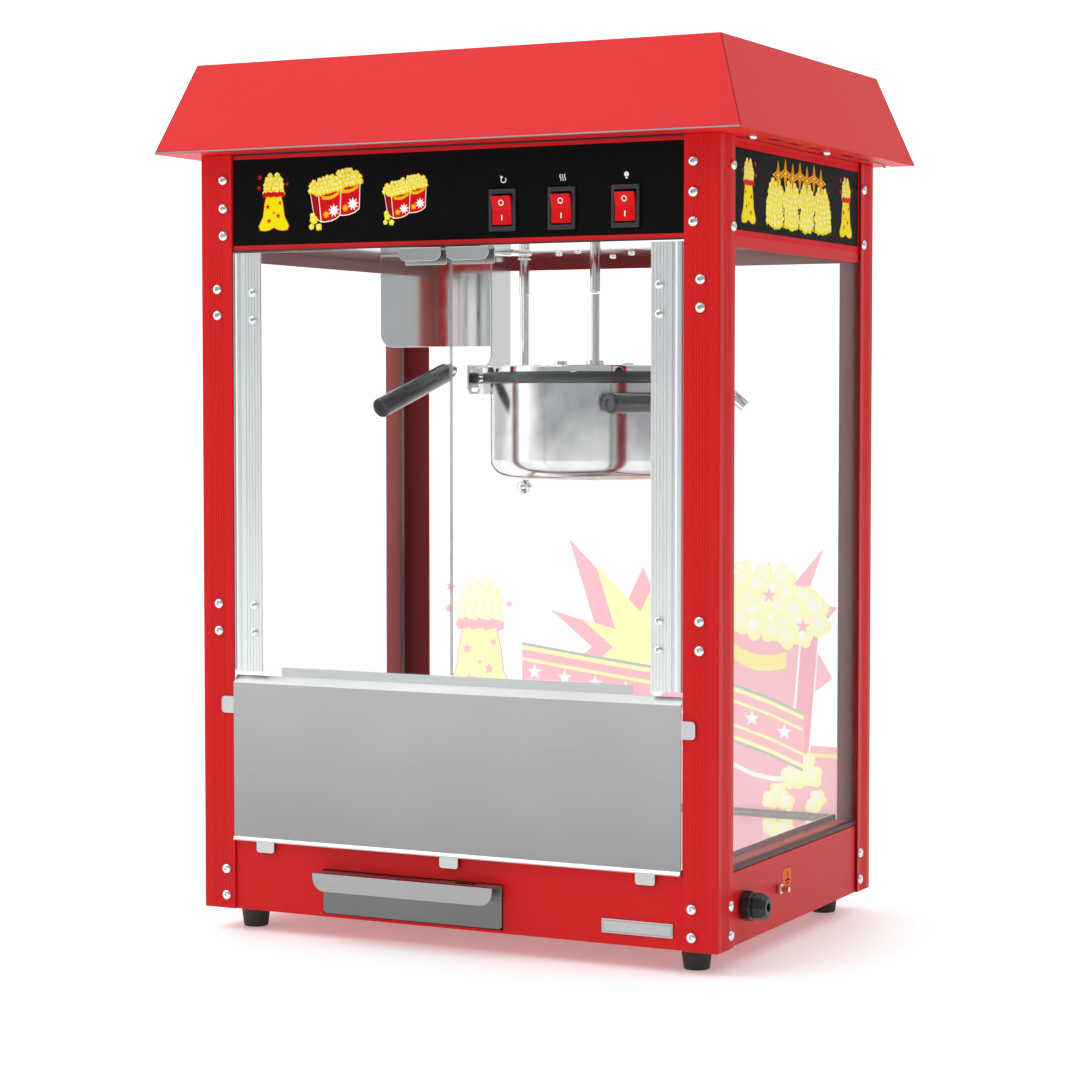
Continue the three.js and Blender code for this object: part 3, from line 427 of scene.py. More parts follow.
SHEET_METAL = {
    "roof_shell": (lit_roof_coat, 0.9), "base_pan": (red_coat, 0.4), "base_front_panel": (red_coat, 0.4),
    "header_front_panel": (red_coat, 0.4), "header_back_panel": (red_coat, 0.4),
    "header_left_panel": (red_coat, 0.4), "header_right_panel": (red_coat, 0.4),
    "ceiling_plate": (mirror_steel, 0.3), "door_catch": (mirror_steel, 0.3),
    "crumb_drawer": (drawer_and_reflection_steel, 0.4),
    "drawer_handle": (handle_steel, 0.4), "lamp_shield": (mirror_steel, 0.4),
    "badge_plate": (plate_alloy, 0.25), "gear_motor": (cast_alloy, 1.2),
    "drawer_runner_left": (trim_and_highlight_steel, 0.3), "drawer_runner_right": (trim_and_highlight_steel, 0.3),
    "kettle_hanger_left": (mirror_steel, 0.5), "kettle_hanger_right": (mirror_steel, 0.5),
    "hinge_rail_left": (profile_alloy, 0.25), "hinge_rail_right": (profile_alloy, 0.25),
    "door_left_stile": (profile_alloy, 0.2), "door_right_stile": (profile_alloy, 0.2),
    "door_left_pull": (trim_and_highlight_steel, 0.4), "door_right_pull": (trim_and_highlight_steel, 0.4),
    "lid_bridge": (mirror_steel, 0.35), "lid_flap_front": (mirror_steel, 0.35),
    "lid_flap_back": (mirror_steel, 0.35), "stirrer": (mirror_steel, 0.4),
    "tilt_lever": (mirror_steel, 0.5), "carry_bracket": (mirror_steel, 0.5),
    "drive_sleeve": (mirror_steel, 0.5), "lamp_holder": (lamp_ceramic, 0.6),
    "lamp_bulb": (bulb_glass, 0.3), "cable_gland": (gland_nylon, 0.5),
    "earth_stud": (turned_brass, 0.3),
}
for index in (1, 2, 3):
    SHEET_METAL[f"switch_body_{index}"] = (switch_abs, 0.5)
    SHEET_METAL[f"switch_rocker_{index}"] = (rocker_red, 0.6)
for end, _ in ENDS:
    for side, _ in SIDES:
        SHEET_METAL[f"corner_post_{end}_{side}"] = (red_coat, 0.25)
SHADED_INWARD = {"corner_post_back_left": (0, -1), "corner_post_back_right": (0, -1),
          "header_back_panel": (0, -1), "header_left_panel": (1, 0), "header_right_panel": (-1, 0)}
SHIELD_REACH = 0.013
for node, (material, round_mm) in SHEET_METAL.items():
    piece = finish_node(node, material, round_mm)
    if node in SHADED_INWARD:
        # Faces that look into the cabinet get a darker copy of the coat: painted shade.
        piece.data.materials.append(inner_shade_and_seam_coat)
        for face in piece.data.polygons:
            if max(face.normal.x * SHADED_INWARD[node][0], face.normal.y * SHADED_INWARD[node][1]) > 0.7:
                face.material_index = 1
    if node == "lamp_shield":
        # Its plate reaches a little farther to the right than the frame's.
        middle_x = sum(corner.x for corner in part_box(node)) / 2
        for vertex in piece.data.vertices:
            if vertex.co.x > middle_x:
                vertex.co.x += SHIELD_REACH
print("finished from the frame:", len(SHEET_METAL))

# %% [markdown]
# The deck tray is one folded sheet with three looks: its wall is brushed dull, its bent tabs and
# ledge take a brighter steel as a painted highlight, and its floor keeps the mirror of the mill.

# %% Deck tray
def finish_tray():
    front_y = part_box("deck_tray")[0].y
    foot_z, side_x, ledge_z = 0.0823, 0.2174, 0.2233
    cuts = [((0, 0, foot_z), (0, 0, 1)), ((0, 0, ledge_z), (0, 0, 1)),
            ((side_x, 0, 0), (1, 0, 0)), ((-side_x, 0, 0), (1, 0, 0))]
    piece = finish_node("deck_tray", panel_steel, 0.45, cuts=cuts)
    piece.data.materials.append(trim_and_highlight_steel)
    piece.data.materials.append(deck_steel)
    for face in piece.data.polygons:
        x, y, z = face.center
        if y > front_y + 0.006 and z < foot_z + 0.02:
            face.material_index = 2
        # The tabs and the ledge take the brighter steel: a painted highlight on their bends.
        elif z < foot_z or z > ledge_z or abs(x) > side_x:
            face.material_index = 1
    return piece


print("tray faces:", len(finish_tray().data.polygons))

# %% [markdown]
# ## Panes
# A pane has two polished faces and four cut edges, and they are different finishes on one piece.

# %% Panes
def finish_pane(node):
    mesh = merged_copy(node)
    piece = link(mesh, node + ".finished")
    mesh.materials.append(pane_clear)
    mesh.materials.append(pane_edge)
    low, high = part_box(node)
    size = high - low
    thin = min(range(3), key=lambda axis: size[axis])
    for face in mesh.polygons:
        face.material_index = 0 if abs(face.normal[thin]) > 0.9 else 1
    return stand_for(piece, node)


PANES = ("window_left", "window_right", "window_back", "door_left_glass", "door_right_glass")
for pane in PANES:
    finish_pane(pane)
print("panes:", len(PANES))

# %% [markdown]
# ## Round pieces
# The kettle, its rim, the grips, the feet and the rear rod are turned or spun, so each is a
# profile swept round its axis. An arc in the profile gives the spun corner under the kettle.

# %% Turning
def arc(cx, cz, radius, start, stop, steps):
    """Points along an arc, with angles in degrees, all in millimetres."""
    angles = [math.radians(start + (stop - start) * i / steps) for i in range(steps + 1)]
    return [(cx + radius * math.cos(a), cz + radius * math.sin(a)) for a in angles]


def ring(work, radius, height, sides):
    """Points of a circle in mm, in the mesh that is being built."""
    return [work.verts.new((radius * MM * math.cos(2 * math.pi * i / sides),
                            radius * MM * math.sin(2 * math.pi * i / sides), height * MM))
            for i in range(sides)]


def bridge(work, low, high):
    """Joins two loops of as many points with a band of faces."""
    return [work.faces.new((low[i - 1], low[i], high[i], high[i - 1])) for i in range(len(low))]


def make_piece(work, name, materials=(), degrees=None):
    """Ends a mesh that is being built, as an object."""
    mesh = bpy.data.meshes.new(name)
    for material in materials:
        mesh.materials.append(material)
    work.to_mesh(mesh)
    work.free()
    if degrees:
        smooth_by_angle(mesh, degrees)
    return link(mesh, name)


def turned_mesh(name, profile, material, start, stop, sides=96):
    """Sweeps a closed profile of (radius, height) in mm round the line from start towards stop."""
    work = bmesh.new()
    along = (Vector(stop) - Vector(start)).normalized()
    turn = along.to_track_quat("Z", "Y").to_matrix().to_4x4()
    rings = [ring(work, radius, height, sides) if radius > 0 else [work.verts.new((0, 0, height * MM))]
             for radius, height in profile]
    for low, high in zip(rings, rings[1:]):
        if len(low) == len(high):
            bridge(work, low, high)
        elif len(low) == 1:
            for i in range(sides):
                work.faces.new((low[0], high[i], high[i - 1]))
        else:
            for i in range(sides):
                work.faces.new((low[i - 1], low[i], high[0]))
    bmesh.ops.recalc_face_normals(work, faces=work.faces)
    bmesh.ops.transform(work, matrix=Matrix.Translation(start) @ turn, verts=work.verts)
    return make_piece(work, name, [material], 36)


def upright(name, profile, material, foot, sides):
    """Turns a profile round the vertical through its foot."""
    return turned_mesh(name, profile, material, foot, (foot[0], foot[1], 1), sides)


def fasten(piece, body):
    """Says which body a new piece rides on."""
    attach(piece, body)
    return piece


def joint_point(name):
    return Vector(next(joint["pos_m"] for joint in frame["joints"] if joint["name"] == name))


def middle(node):
    low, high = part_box(node)
    return (low + high) / 2


print("points in a quarter arc:", len(arc(0, 0, 18, 0, 90, 12)))

# %% [markdown]
# The kettle shell is spun from one disc: a flat floor, an 18 mm corner and a straight wall. Its rim
# is a darker rolled band that carries the pan. The pan itself sits inside, with a dished corner.

# %% Kettle shell, pan and rim
def make_kettle():
    low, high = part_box("kettle_shell")
    axis = middle("kettle_shell")
    radius, top, corner, wall = (high.x - low.x) / 2 / MM, (high.z - low.z) / MM, 18, 1.2
    profile = [(0, 0), *arc(radius - corner, corner, corner, -90, 0, 12), (radius, top),
               (radius - wall, top), *arc(radius - corner, corner, corner - wall, 0, -90, 12), (0, wall)]
    shell = upright("kettle_shell.finished", profile, kettle_steel, (axis.x, axis.y, low.z), 128)
    stand_for(shell, "kettle_shell")

    pan_low, pan_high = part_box("kettle_pot")
    rim = (pan_high.y - pan_low.y) / 2 / MM
    tall = (pan_high.z - pan_low.z) / MM
    band, pan, bend, curl = 9.5, 88, 12, 1.6
    profile = [(0, 0), *arc(pan - bend, bend, bend, -90, 0, 8), (pan, tall - band),
               *arc(rim - curl, tall - band + curl, curl, -90, 0, 4),
               *arc(rim - curl, tall - curl, curl, 0, 90, 4), (pan - wall + 2, tall), (pan - wall, tall - 2),
               *arc(pan - bend, bend, bend - wall, 0, -90, 8), (0, wall)]
    pot = upright("kettle_pot.finished", profile, rim_steel, (axis.x, axis.y, pan_low.z), 128)
    pot.data.materials.append(kettle_steel)
    for face in pot.data.polygons:
        out = math.hypot(face.center.x - axis.x, face.center.y - axis.y) / MM
        face.material_index = 0 if out > pan + 0.5 else 1
    stand_for(pot, "kettle_pot")

    for side, sign, reach in (("left", -1, axis.x - pan_low.x), ("right", 1, pan_high.x - axis.x)):
        length = reach / MM - rim + 2
        height = joint_point("kettle_tilt").z
        pin = turned_mesh(f"trunnion_pin_{side}",
                          [(0, 0), (5, 0), (5, length - 0.8), (4.2, length), (0, length)], mirror_steel,
                          (axis.x + sign * (rim - 2) * MM, axis.y, height),
                          (axis.x + sign * 9, axis.y, height), 32)
        fasten(pin, "kettle")
    print("kettle shell:", round(2 * radius), "mm across,", round(top), "mm tall")


make_kettle()

# %% [markdown]
# A grip is a moulded tube with a rounded end and a shallow dimple where the mould closed. It leans,
# so its line is read off the vertices at both ends of the frame's own grip.

# %% Grips
def end_points(node):
    """The two ends of a long round node: the means of the points in each end third."""
    points = [v.co.copy() for v in frame["nodes"][node].data.vertices]
    centre = middle(node)
    far = max(points, key=lambda p: (p - centre).length)
    along = (far - centre).normalized()
    reach = [(p - centre).dot(along) for p in points]
    share = 0.35 * (max(reach) - min(reach))
    first = [p for p, r in zip(points, reach) if r < min(reach) + share]
    last = [p for p, r in zip(points, reach) if r > max(reach) - share]
    return [sum(group, Vector()) / len(group) for group in (first, last)]


def make_grip(node):
    near, free = sorted(end_points(node), key=lambda p: -p.y)
    length, radius = (free - near).length / MM, 9.0
    profile = [(0, 0), (radius - 1.5, 0), (radius - 0.6, 0.4), (radius, 1.5), (radius, length - 3),
               *arc(radius - 2.2, length - 2.2, 2.2, 0, 90, 6), (3.4, length), (3.0, length - 0.7),
               (0, length - 0.9)]
    stand_for(turned_mesh(node + ".finished", profile, grip_resin, near, free, 48), node)
    print(node, "length", round(length, 1), "mm")


make_grip("tilt_grip")
make_grip("carry_grip")

# %% [markdown]
# A foot is a moulded rubber bumper, and the rear rod is a round bar with a ball at its foot and a
# collar at its head. Both stand upright, so their profiles turn round a vertical.

# %% Feet and rear rod
def make_feet():
    for end, _ in ENDS:
        for side, _ in SIDES:
            node = f"foot_{end}_{side}"
            low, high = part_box(node)
            axis = middle(node)
            top, tall = (high.x - low.x) / 2 / MM, (high.z - low.z) / MM
            profile = [(0, 1.2), (4.2, 1.2), (4.6, 0), (top - 4.0, 0), *arc(top - 3.6, 1.4, 1.4, -90, 0, 3),
                       (top - 0.4, tall - 4), (top, tall - 3.2), (top, tall - 1), (top - 1, tall), (0, tall)]
            stand_for(upright(node + ".finished", profile, rubber_and_shadow_strip, (axis.x, axis.y, low.z), 40), node)
    print("feet:", round(2 * top), "mm across,", round(tall), "mm tall")


def make_rear_rod():
    low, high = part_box("rear_rod")
    axis = middle("rear_rod")
    tall, ball = (high.z - low.z) / MM, (high.x - low.x) / 2 / MM
    profile = [(0, 0), *arc(0, ball, ball, -85, 52, 14), (4.5, 2 * ball - 0.5), (4.5, tall - 36),
               (5.2, tall - 35.5), (5.2, tall - 2), (7.0, tall - 1.4), (7.0, tall), (0, tall)]
    stand_for(upright("rear_rod.finished", profile, mirror_steel, (axis.x, axis.y, low.z), 40), "rear_rod")


make_feet()
make_rear_rod()

# %% [markdown]
# ## Screws
# The same pan-head screw holds the whole cabinet together, so Geometry Nodes set one head at every
# point of a list. Each point carries the way its screw faces.

# %% One screw head
def screw_head():
    """A pan head with a cross recess, about 8 mm across, standing on z = 0."""
    work = bmesh.new()
    sides, tips = 24, 8
    steps = ((4.1, 0.0), (4.1, 0.7), (3.7, 1.5), (2.9, 2.1), (1.9, 2.4))
    loops = [ring(work, radius, height, sides) for radius, height in steps]
    for low, high in zip(loops, loops[1:]):
        bridge(work, low, high)
    cross = []
    for i in range(tips):
        reach = 1.75 if i % 2 == 0 else 0.62
        angle = 2 * math.pi * i / tips
        cross.append((reach * math.cos(angle), reach * math.sin(angle)))
    upper = [work.verts.new((x * MM, y * MM, 2.42 * MM)) for x, y in cross]
    lower = [work.verts.new((x * 0.45 * MM, y * 0.45 * MM, 1.2 * MM)) for x, y in cross]
    bridge(work, upper, lower)
    work.faces.new(lower)
    work.faces.new(loops[0][::-1])
    for i in range(tips):
        arcs = [loops[-1][(3 * i + k) % sides] for k in range(4)]
        work.faces.new((upper[i], *arcs, upper[(i + 1) % tips]))
    bmesh.ops.recalc_face_normals(work, faces=work.faces)
    return make_piece(work, "screw_head_pattern", degrees=40)


SCREW_HEAD = screw_head()
print("faces on a screw head:", len(SCREW_HEAD.data.polygons))

# %% The tree that sets screws
def screw_tree():
    tree = bpy.data.node_groups.new("set_screws", "GeometryNodeTree")
    for name, kind in (("Geometry", "Geometry"), ("Head", "Object"), ("Size", "Float"),
                       ("Finish", "Material")):
        tree.interface.new_socket(name, in_out="INPUT", socket_type=f"NodeSocket{kind}")
    tree.interface.new_socket("Geometry", in_out="OUTPUT", socket_type="NodeSocketGeometry")
    start = add_node(tree, "NodeGroupInput")
    head = add_node(tree, "GeometryNodeObjectInfo", {"Object": start.outputs["Head"]})
    facing = add_node(tree, "GeometryNodeInputNamedAttribute", {"Name": "facing"},
                      data_type="FLOAT_VECTOR")
    turn = add_node(tree, "FunctionNodeAlignRotationToVector", {"Vector": facing.outputs[0]}, axis="Z")
    spin = add_node(tree, "FunctionNodeRandomValue", {2: 0.0, 3: 3.14, "Seed": 7})
    twist = add_node(tree, "FunctionNodeAxisAngleToRotation",
                     {"Axis": (0.0, 0.0, 1.0), "Angle": spin.outputs[1]})
    rotation = add_node(tree, "FunctionNodeRotateRotation",
                        {"Rotation": turn.outputs[0], "Rotate By": twist.outputs[0]},
                        rotation_space="LOCAL")
    copies = add_node(tree, "GeometryNodeInstanceOnPoints",
                      {"Points": start.outputs["Geometry"], "Instance": head.outputs["Geometry"],
                       "Rotation": rotation.outputs[0], "Scale": start.outputs["Size"]})
    real = add_node(tree, "GeometryNodeRealizeInstances", {"Geometry": copies.outputs[0]})
    finish = add_node(tree, "GeometryNodeSetMaterial",
                      {"Geometry": real.outputs[0], "Material": start.outputs["Finish"]})
    add_node(tree, "NodeGroupOutput", {"Geometry": finish.outputs[0]})
    return tree


SCREW_TREE = screw_tree()
screw_steel = polished_steel("zinc_plated_screw", "#D9DBDC", rough=0.16)


def set_screws(name, body, points, size):
    """points are (x, y, z, facing) in metres. One mesh of screws for one body."""
    mesh = bpy.data.meshes.new(name)
    mesh.from_pydata([p[:3] for p in points], [], [])
    facing = mesh.attributes.new("facing", "FLOAT_VECTOR", "POINT")
    facing.data.foreach_set("vector", [c for p in points for c in p[3]])
    piece = link(mesh, name)
    modifier = piece.modifiers.new("screws", "NODES")
    modifier.node_group = SCREW_TREE
    identifiers = {item.name: item.identifier for item in SCREW_TREE.interface.items_tree
                   if item.in_out == "INPUT"}
    modifier[identifiers["Head"]] = SCREW_HEAD
    modifier[identifiers["Size"]] = size
    modifier[identifiers["Finish"]] = screw_steel
    apply_modifiers(piece)
    smooth_by_angle(piece.data, 40)
    fasten(piece, body)
    print(name, len(points))


# %% [markdown]
# The post screws come in the same places on each post: three into the header, pairs where the hinge
# rail is held, and two into the base. The side legs carry two into the header and two into the base.

# %% Cabinet and door screws
def post_screws():
    points = []
    for end, sy in ENDS:
        for side, sx in SIDES:
            low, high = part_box(f"corner_post_{end}_{side}")
            face_y = low.y if sy < 0 else high.y
            face_x = low.x if sx < 0 else high.x
            inner = (high.x if sx < 0 else low.x) + sx * 0.0085
            outer = inner + sx * 0.0065
            for z in (0.668, 0.643, 0.619, 0.0555, 0.032):
                points.append((inner, face_y, z, (0, sy, 0)))
            if end == "front":
                for z in (0.572, 0.549, 0.293, 0.269):
                    points.append((outer, face_y, z, (0, sy, 0)))
            side_y = (high.y if sy < 0 else low.y) + sy * 0.0055
            for z in (0.666, 0.616, 0.056, 0.0315):
                points.append((face_x, side_y, z, (sx, 0, 0)))
    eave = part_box("corner_post_front_left")[1].z
    for sx in (-1, 1):
        for y in (-0.130, 0.039, 0.197):
            points.append((sx * 0.2565, y, eave + 0.0003, (0, 0, -1)))
    return points


def stile_screws(side):
    low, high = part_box(f"door_{side}_stile")
    inward = 1 if side == "left" else -1
    x = (high.x if side == "left" else low.x) - inward * 0.0075
    return [(x, low.y, z, (0, -1, 0)) for z in (0.5685, 0.5445, 0.2925, 0.2685)]


set_screws("cabinet_screws", "cabinet", post_screws(), 1.1)
ceiling_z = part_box("ceiling_plate")[0].z
set_screws("ceiling_screws", "cabinet", [(x * MM, y * MM, ceiling_z, (0, 0, -1))
                                         for x, y in ((-20, 72), (15, 40), (4, 139), (46, 90))], 0.8)
for side, _ in SIDES:
    set_screws(f"door_{side}_screws", f"door_{side}", stile_screws(side), 0.95)

# %% [markdown]
# ## Labels
# A label is a film with inks laid on it. Each ink shape is a thin flat solid, and what is printed
# later stands a hair above what is printed first. The drawing is flat, in millimetres, and is then
# laid against its panel.

# %% A drawing board for inks
class Artwork:
    """Collects flat shapes in millimetres. A later level lies on an earlier one."""

    def __init__(self, inks, lift_mm=0.006, both_faces=False):
        self.inks, self.lift, self.both, self.shapes = inks, lift_mm, both_faces, []

    def add(self, ink_name, points, level):
        self.shapes.append((ink_name, points, level))

    def lay(self, name, origin, right, up):
        """Makes one mesh with its drawing plane at origin, spanned by right and up."""
        right, up = Vector(right), Vector(up)
        outward = right.cross(up).normalized()
        names = list(self.inks)
        work = bmesh.new()
        for ink_name, points, level in self.shapes:
            turned = sum(a[0] * b[1] - b[0] * a[1] for a, b in zip(points, points[1:] + points[:1]))
            high = self.lift * (level + 1)
            low = -high if self.both else 0.0
            tops, lows = [], []
            for u, v in points if turned > 0 else points[::-1]:
                flat = Vector(origin) + right * u * MM + up * v * MM
                tops.append(work.verts.new(flat + outward * high * MM))
                lows.append(work.verts.new(flat + outward * low * MM))
            for face in (work.faces.new(tops), work.faces.new(lows[::-1]), *bridge(work, lows, tops)):
                face.material_index = names.index(ink_name)
        return make_piece(work, name, self.inks.values())


def rect(xa, ya, xb, yb):
    return [(xa, ya), (xb, ya), (xb, yb), (xa, yb)]


def blob(cx, cy, radius, lobes, phase, swell=0.16, steps=15):
    """A popped kernel's outline: a circle with round lobes."""
    points = []
    for i in range(steps):
        angle = 2 * math.pi * i / steps
        reach = radius * (1 - swell + swell * 2 * abs(math.sin(lobes * angle / 2 + phase)))
        points.append((cx + reach * math.cos(angle), cy + reach * math.sin(angle)))
    return points


def star(cx, cy, outer, inner, tips, phase=90.0):
    points = []
    for i in range(2 * tips):
        reach = outer if i % 2 == 0 else inner
        angle = math.radians(phase + 180 * i / tips)
        points.append((cx + reach * math.cos(angle), cy + reach * math.sin(angle)))
    return points


def shrunk(points, share, towards):
    return [(towards[0] + (x - towards[0]) * share, towards[1] + (y - towards[1]) * share)
            for x, y in points]


print("points round a kernel:", len(blob(0, 0, 1, 4, 0)))

# %% [markdown]
# One popped kernel is three shapes: a yellow shade, a butter puff pushed up and to the left, and a
# white glint. A heap is rows of kernels, from the back row down to the rim. Kernels next to each
# other lie on different levels, so no two inks share a plane where they cross.

# %% Kernels and heaps
def draw_kernel(art, cx, cy, radius, level, rng):
    phase = rng.uniform(0, math.pi)
    lobes = rng.choice((4, 5))
    steps = 15 if radius < 5 else 30
    art.add("yellow", blob(cx, cy, radius, lobes, phase, steps=steps), level)
    puff = blob(cx - radius * 0.14, cy + radius * 0.18, radius * 0.66, lobes, phase, steps=steps)
    art.add("butter", puff, level + 1)
    if rng.random() < 0.55:
        glint = blob(cx - radius * 0.25, cy + radius * 0.35, radius * 0.26, 3, phase, steps=12)
        art.add("white", glint, level + 2)


def draw_heap(art, line, tall, radius, level, rng, spread=1.0):
    """Heaps corn on a rim that runs through the points of line, as high as tall at its middle."""
    xa, xb = line[0][0], line[-1][0]
    rows = max(3, round(tall / (radius * 1.05)))
    for row in range(rows):
        share = 1 - row / (rows - 1)
        half = (xb - xa) / 2 * math.sqrt(max(0.05, 1 - (share * 0.93) ** 2)) * spread
        count = max(2, round(2 * half / (radius * 1.25)))
        for i in range(count):
            x = (xa + xb) / 2 + (-half + 2 * half * i / (count - 1)) + rng.uniform(-0.2, 0.2) * radius
            rim = line[0][1]
            for (x0, y0), (x1, y1) in zip(line, line[1:]):
                if x0 <= x <= x1:
                    rim = y0 + (y1 - y0) * (x - x0) / (x1 - x0)
                elif x > x1:
                    rim = y1
            y = rim + share * tall + rng.uniform(-0.2, 0.2) * radius
            draw_kernel(art, x, y, radius * rng.uniform(0.85, 1.15), level + row * 6 + (i % 2) * 3, rng)
    return level + rows * 6


# %% [markdown]
# A tub is a folded carton seen from one corner: a narrow side face and a wide front face with a
# rounded foot, a yellow bow across it and two stars on it. A pair is the same tub drawn twice.

# %% Tubs and bags
TUB_SIDE = [(0.8, 34.6), (8.6, 30.3), (11.2, 7.8), (5.2, 11.6)]
TUB_FRONT = [(9.4, 30.4), (30.7, 34.8), (29.8, 12.8), (26.0, 9.9), (20.5, 8.1), (15.5, 7.5),
             (12.0, 7.7)]
TUB_OUTLINE = [(0.1, 35.4), (9.0, 31.2), (31.5, 35.6), (30.5, 12.2), (26.3, 9.1), (20.6, 7.3),
               (15.4, 6.7), (11.4, 6.8), (4.6, 11.2)]


def draw_tub(art, x, y, sx, sy, level, rng, fold=1.0, heap=11.0):
    """fold narrows the side face, which ends at u = 9.2."""
    def place(points):
        return [(x + sx * (u if u > 9.2 else 9.2 - (9.2 - u) * fold), y + sy * v) for u, v in points]

    size = min(abs(sx), sy)
    art.add("white", place(TUB_OUTLINE), level)
    art.add("deep_red", place(TUB_SIDE), level + 1)
    art.add("red", place(TUB_FRONT), level + 1)
    bow = [(12.4 + 17.0 * i / 8, 26.3 + 3.7 * i / 8 - 2.2 * math.sin(math.pi * i / 8)) for i in range(9)]
    art.add("amber", place(bow + [(u, v + 2.8) for u, v in bow[::-1]]), level + 2)
    for ink_name, u, v, outer, tips in (("white", 24.0, 16.4, 5.8, 9), ("amber", 16.6, 13.2, 3.5, 8)):
        (cx, cy), = place([(u, v)])
        art.add(ink_name, star(cx, cy, outer * size, outer * size * 0.52, tips), level + 2)
    rim = sorted(place([(1.6, 34.0), (8.6, 31.0), (30.6, 35.2)]))
    return draw_heap(art, rim, heap * sy, 2.5 * size, level + 3, rng, 1.03)


def draw_tub_pair(art, x, y, scale, seed):
    rng = random.Random(seed)
    level = draw_tub(art, x + 18.6 * scale, y + 5.0 * scale, scale, scale, 6, rng)
    level = draw_tub(art, x, y, scale, scale, level, rng)
    for u, v, radius in ((4.5, 9.0, 3.6), (2.2, 3.3, 2.4), (9.4, 3.0, 2.9), (3.4, 12.4, 2.6)):
        draw_kernel(art, x + u * scale, y + v * scale, radius * scale, level + 3, rng)
        level += 3


BAG_FOOT = [(4, 4.5), (5.5, 1.2), (10, 0.6), (15, 1.2), (19.5, 3.2), (24, 1.2), (29, 0.6), (33.5, 1.2),
            (35, 4.5)]
BAG_BODY = BAG_FOOT + [(30.5, 12), (29.0, 22), (27.0, 29), (12.0, 29), (10.0, 22), (8.5, 12)]
BAG_STARS = ((13.5, 20, 2.9), (24, 12.5, 2.9), (14.5, 8.5, 2.9), (26, 23, 2.3), (19.5, 15, 1.7))
FLYING_STARS = ((5.5, 44, 2.6), (4.5, 35.5, 2.2), (33.5, 38, 1.8))


def draw_star_bag(art, x, y, sx, sy, level, seed):
    """A yellow paper bag with red stars and a red scalloped collar, heaped with corn."""
    rng = random.Random(seed)
    size = min(abs(sx), sy)

    def place(points):
        return [(x + sx * u, y + sy * v) for u, v in points]

    art.add("deep_red", place(shrunk(BAG_BODY, 1.05, (19.5, 15))), level)
    art.add("yellow", place(BAG_BODY), level + 1)
    for u, v, radius in BAG_STARS:
        (cx, cy), = place([(u, v)])
        art.add("red", star(cx, cy, radius * size, radius * size * 0.42, 5), level + 2)
    rim = sorted(place([(11.5, 31), (27.5, 31)]))
    level = draw_heap(art, rim, 14 * sy, 2.7 * size, level + 3, rng, 1.08)
    for i in range(7):
        (cx, cy), = place([(10.4 + 3.05 * i, 29.6 + 0.5 * (i % 2))])
        art.add("red", blob(cx, cy, 2.3 * size, 5, 0.2), level + (i % 2))
    for u, v, radius in FLYING_STARS:
        (cx, cy), = place([(u, v)])
        art.add("red", star(cx, cy, radius * size, radius * size * 0.5, 5, 78), level)


# %% [markdown]
# The front label has a bag and two pairs of tubs on the left, and a small white mark over each
# switch: a turning arrow for the stirrer, rising heat for the kettle, and a lamp for the light.

# %% Front label
def draw_turn_mark(art, cx, cy):
    ring = arc(cx, cy, 2.7, 120, 400, 18) + arc(cx, cy, 1.9, 400, 120, 18)
    art.add("white", ring, 6)
    art.add("white", [(cx - 3.0, cy + 3.6), (cx - 0.1, cy + 2.3), (cx - 2.6, cy + 0.7)], 7)


def draw_heat_mark(art, cx, cy):
    for k in (-1, 0, 1):
        left = [(cx + k * 2.1 + 0.55 * math.sin(i / 6 * math.pi) - 0.35, cy - 2.8 + 5.6 * i / 12)
                for i in range(13)]
        art.add("white", left + [(x + 0.7, y) for x, y in left[::-1]], 6)


def draw_lamp_mark(art, cx, cy):
    art.add("white", arc(cx, cy + 0.6, 2.2, -50, 230, 18), 6)
    art.add("white", rect(cx - 1.0, cy - 2.9, cx + 1.0, cy - 1.5), 7)


LABEL_Z = 0.6478
UNDER_FRAME = 2.0  # The film runs this far under the switch frames.


def make_front_label():
    half_w, half_h = 217.6, 37.8
    art = Artwork(INKS)
    holes = [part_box(f"switch_body_{i}") for i in (1, 2, 3)]
    edges = [-half_w]
    for hole_low, hole_high in holes:
        edges += [hole_low.x / MM + UNDER_FRAME, hole_high.x / MM - UNDER_FRAME]
    edges.append(half_w)
    foot = (holes[0][0].z - LABEL_Z) / MM + UNDER_FRAME
    head = (holes[0][1].z - LABEL_Z) / MM - UNDER_FRAME
    for xa, xb in zip(edges[0::2], edges[1::2]):
        art.add("film", rect(xa, -half_h, xb, half_h), 4)
    for xa, xb in zip(edges[1:-1:2], edges[2::2]):
        art.add("film", rect(xa, -half_h, xb, foot), 4)
        art.add("film", rect(xa, head, xb, half_h), 4)
    draw_star_bag(art, -195, -26, 1.0, 1.08, 6, 3)
    draw_tub_pair(art, -139, -26.5, 1.03, 11)
    draw_tub_pair(art, -64.5, -24, 0.84, 12)
    for (hole_low, hole_high), mark in zip(holes, (draw_turn_mark, draw_heat_mark, draw_lamp_mark)):
        mark(art, (hole_low.x + hole_high.x) / 2 / MM, head + 9.7)
    front_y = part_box("header_front_panel")[0].y
    label = art.lay("front_label", (0, front_y, LABEL_Z), (1, 0, 0), (0, 0, 1))
    fasten(label, "cabinet")
    print("front label triangles:", sum(len(face.vertices) - 2 for face in label.data.polygons))


make_front_label()

# %% [markdown]
# Each side label is framed in red. Four heaps of corn fill its middle, under a row of golden
# sparks, and a bag stands at each end.

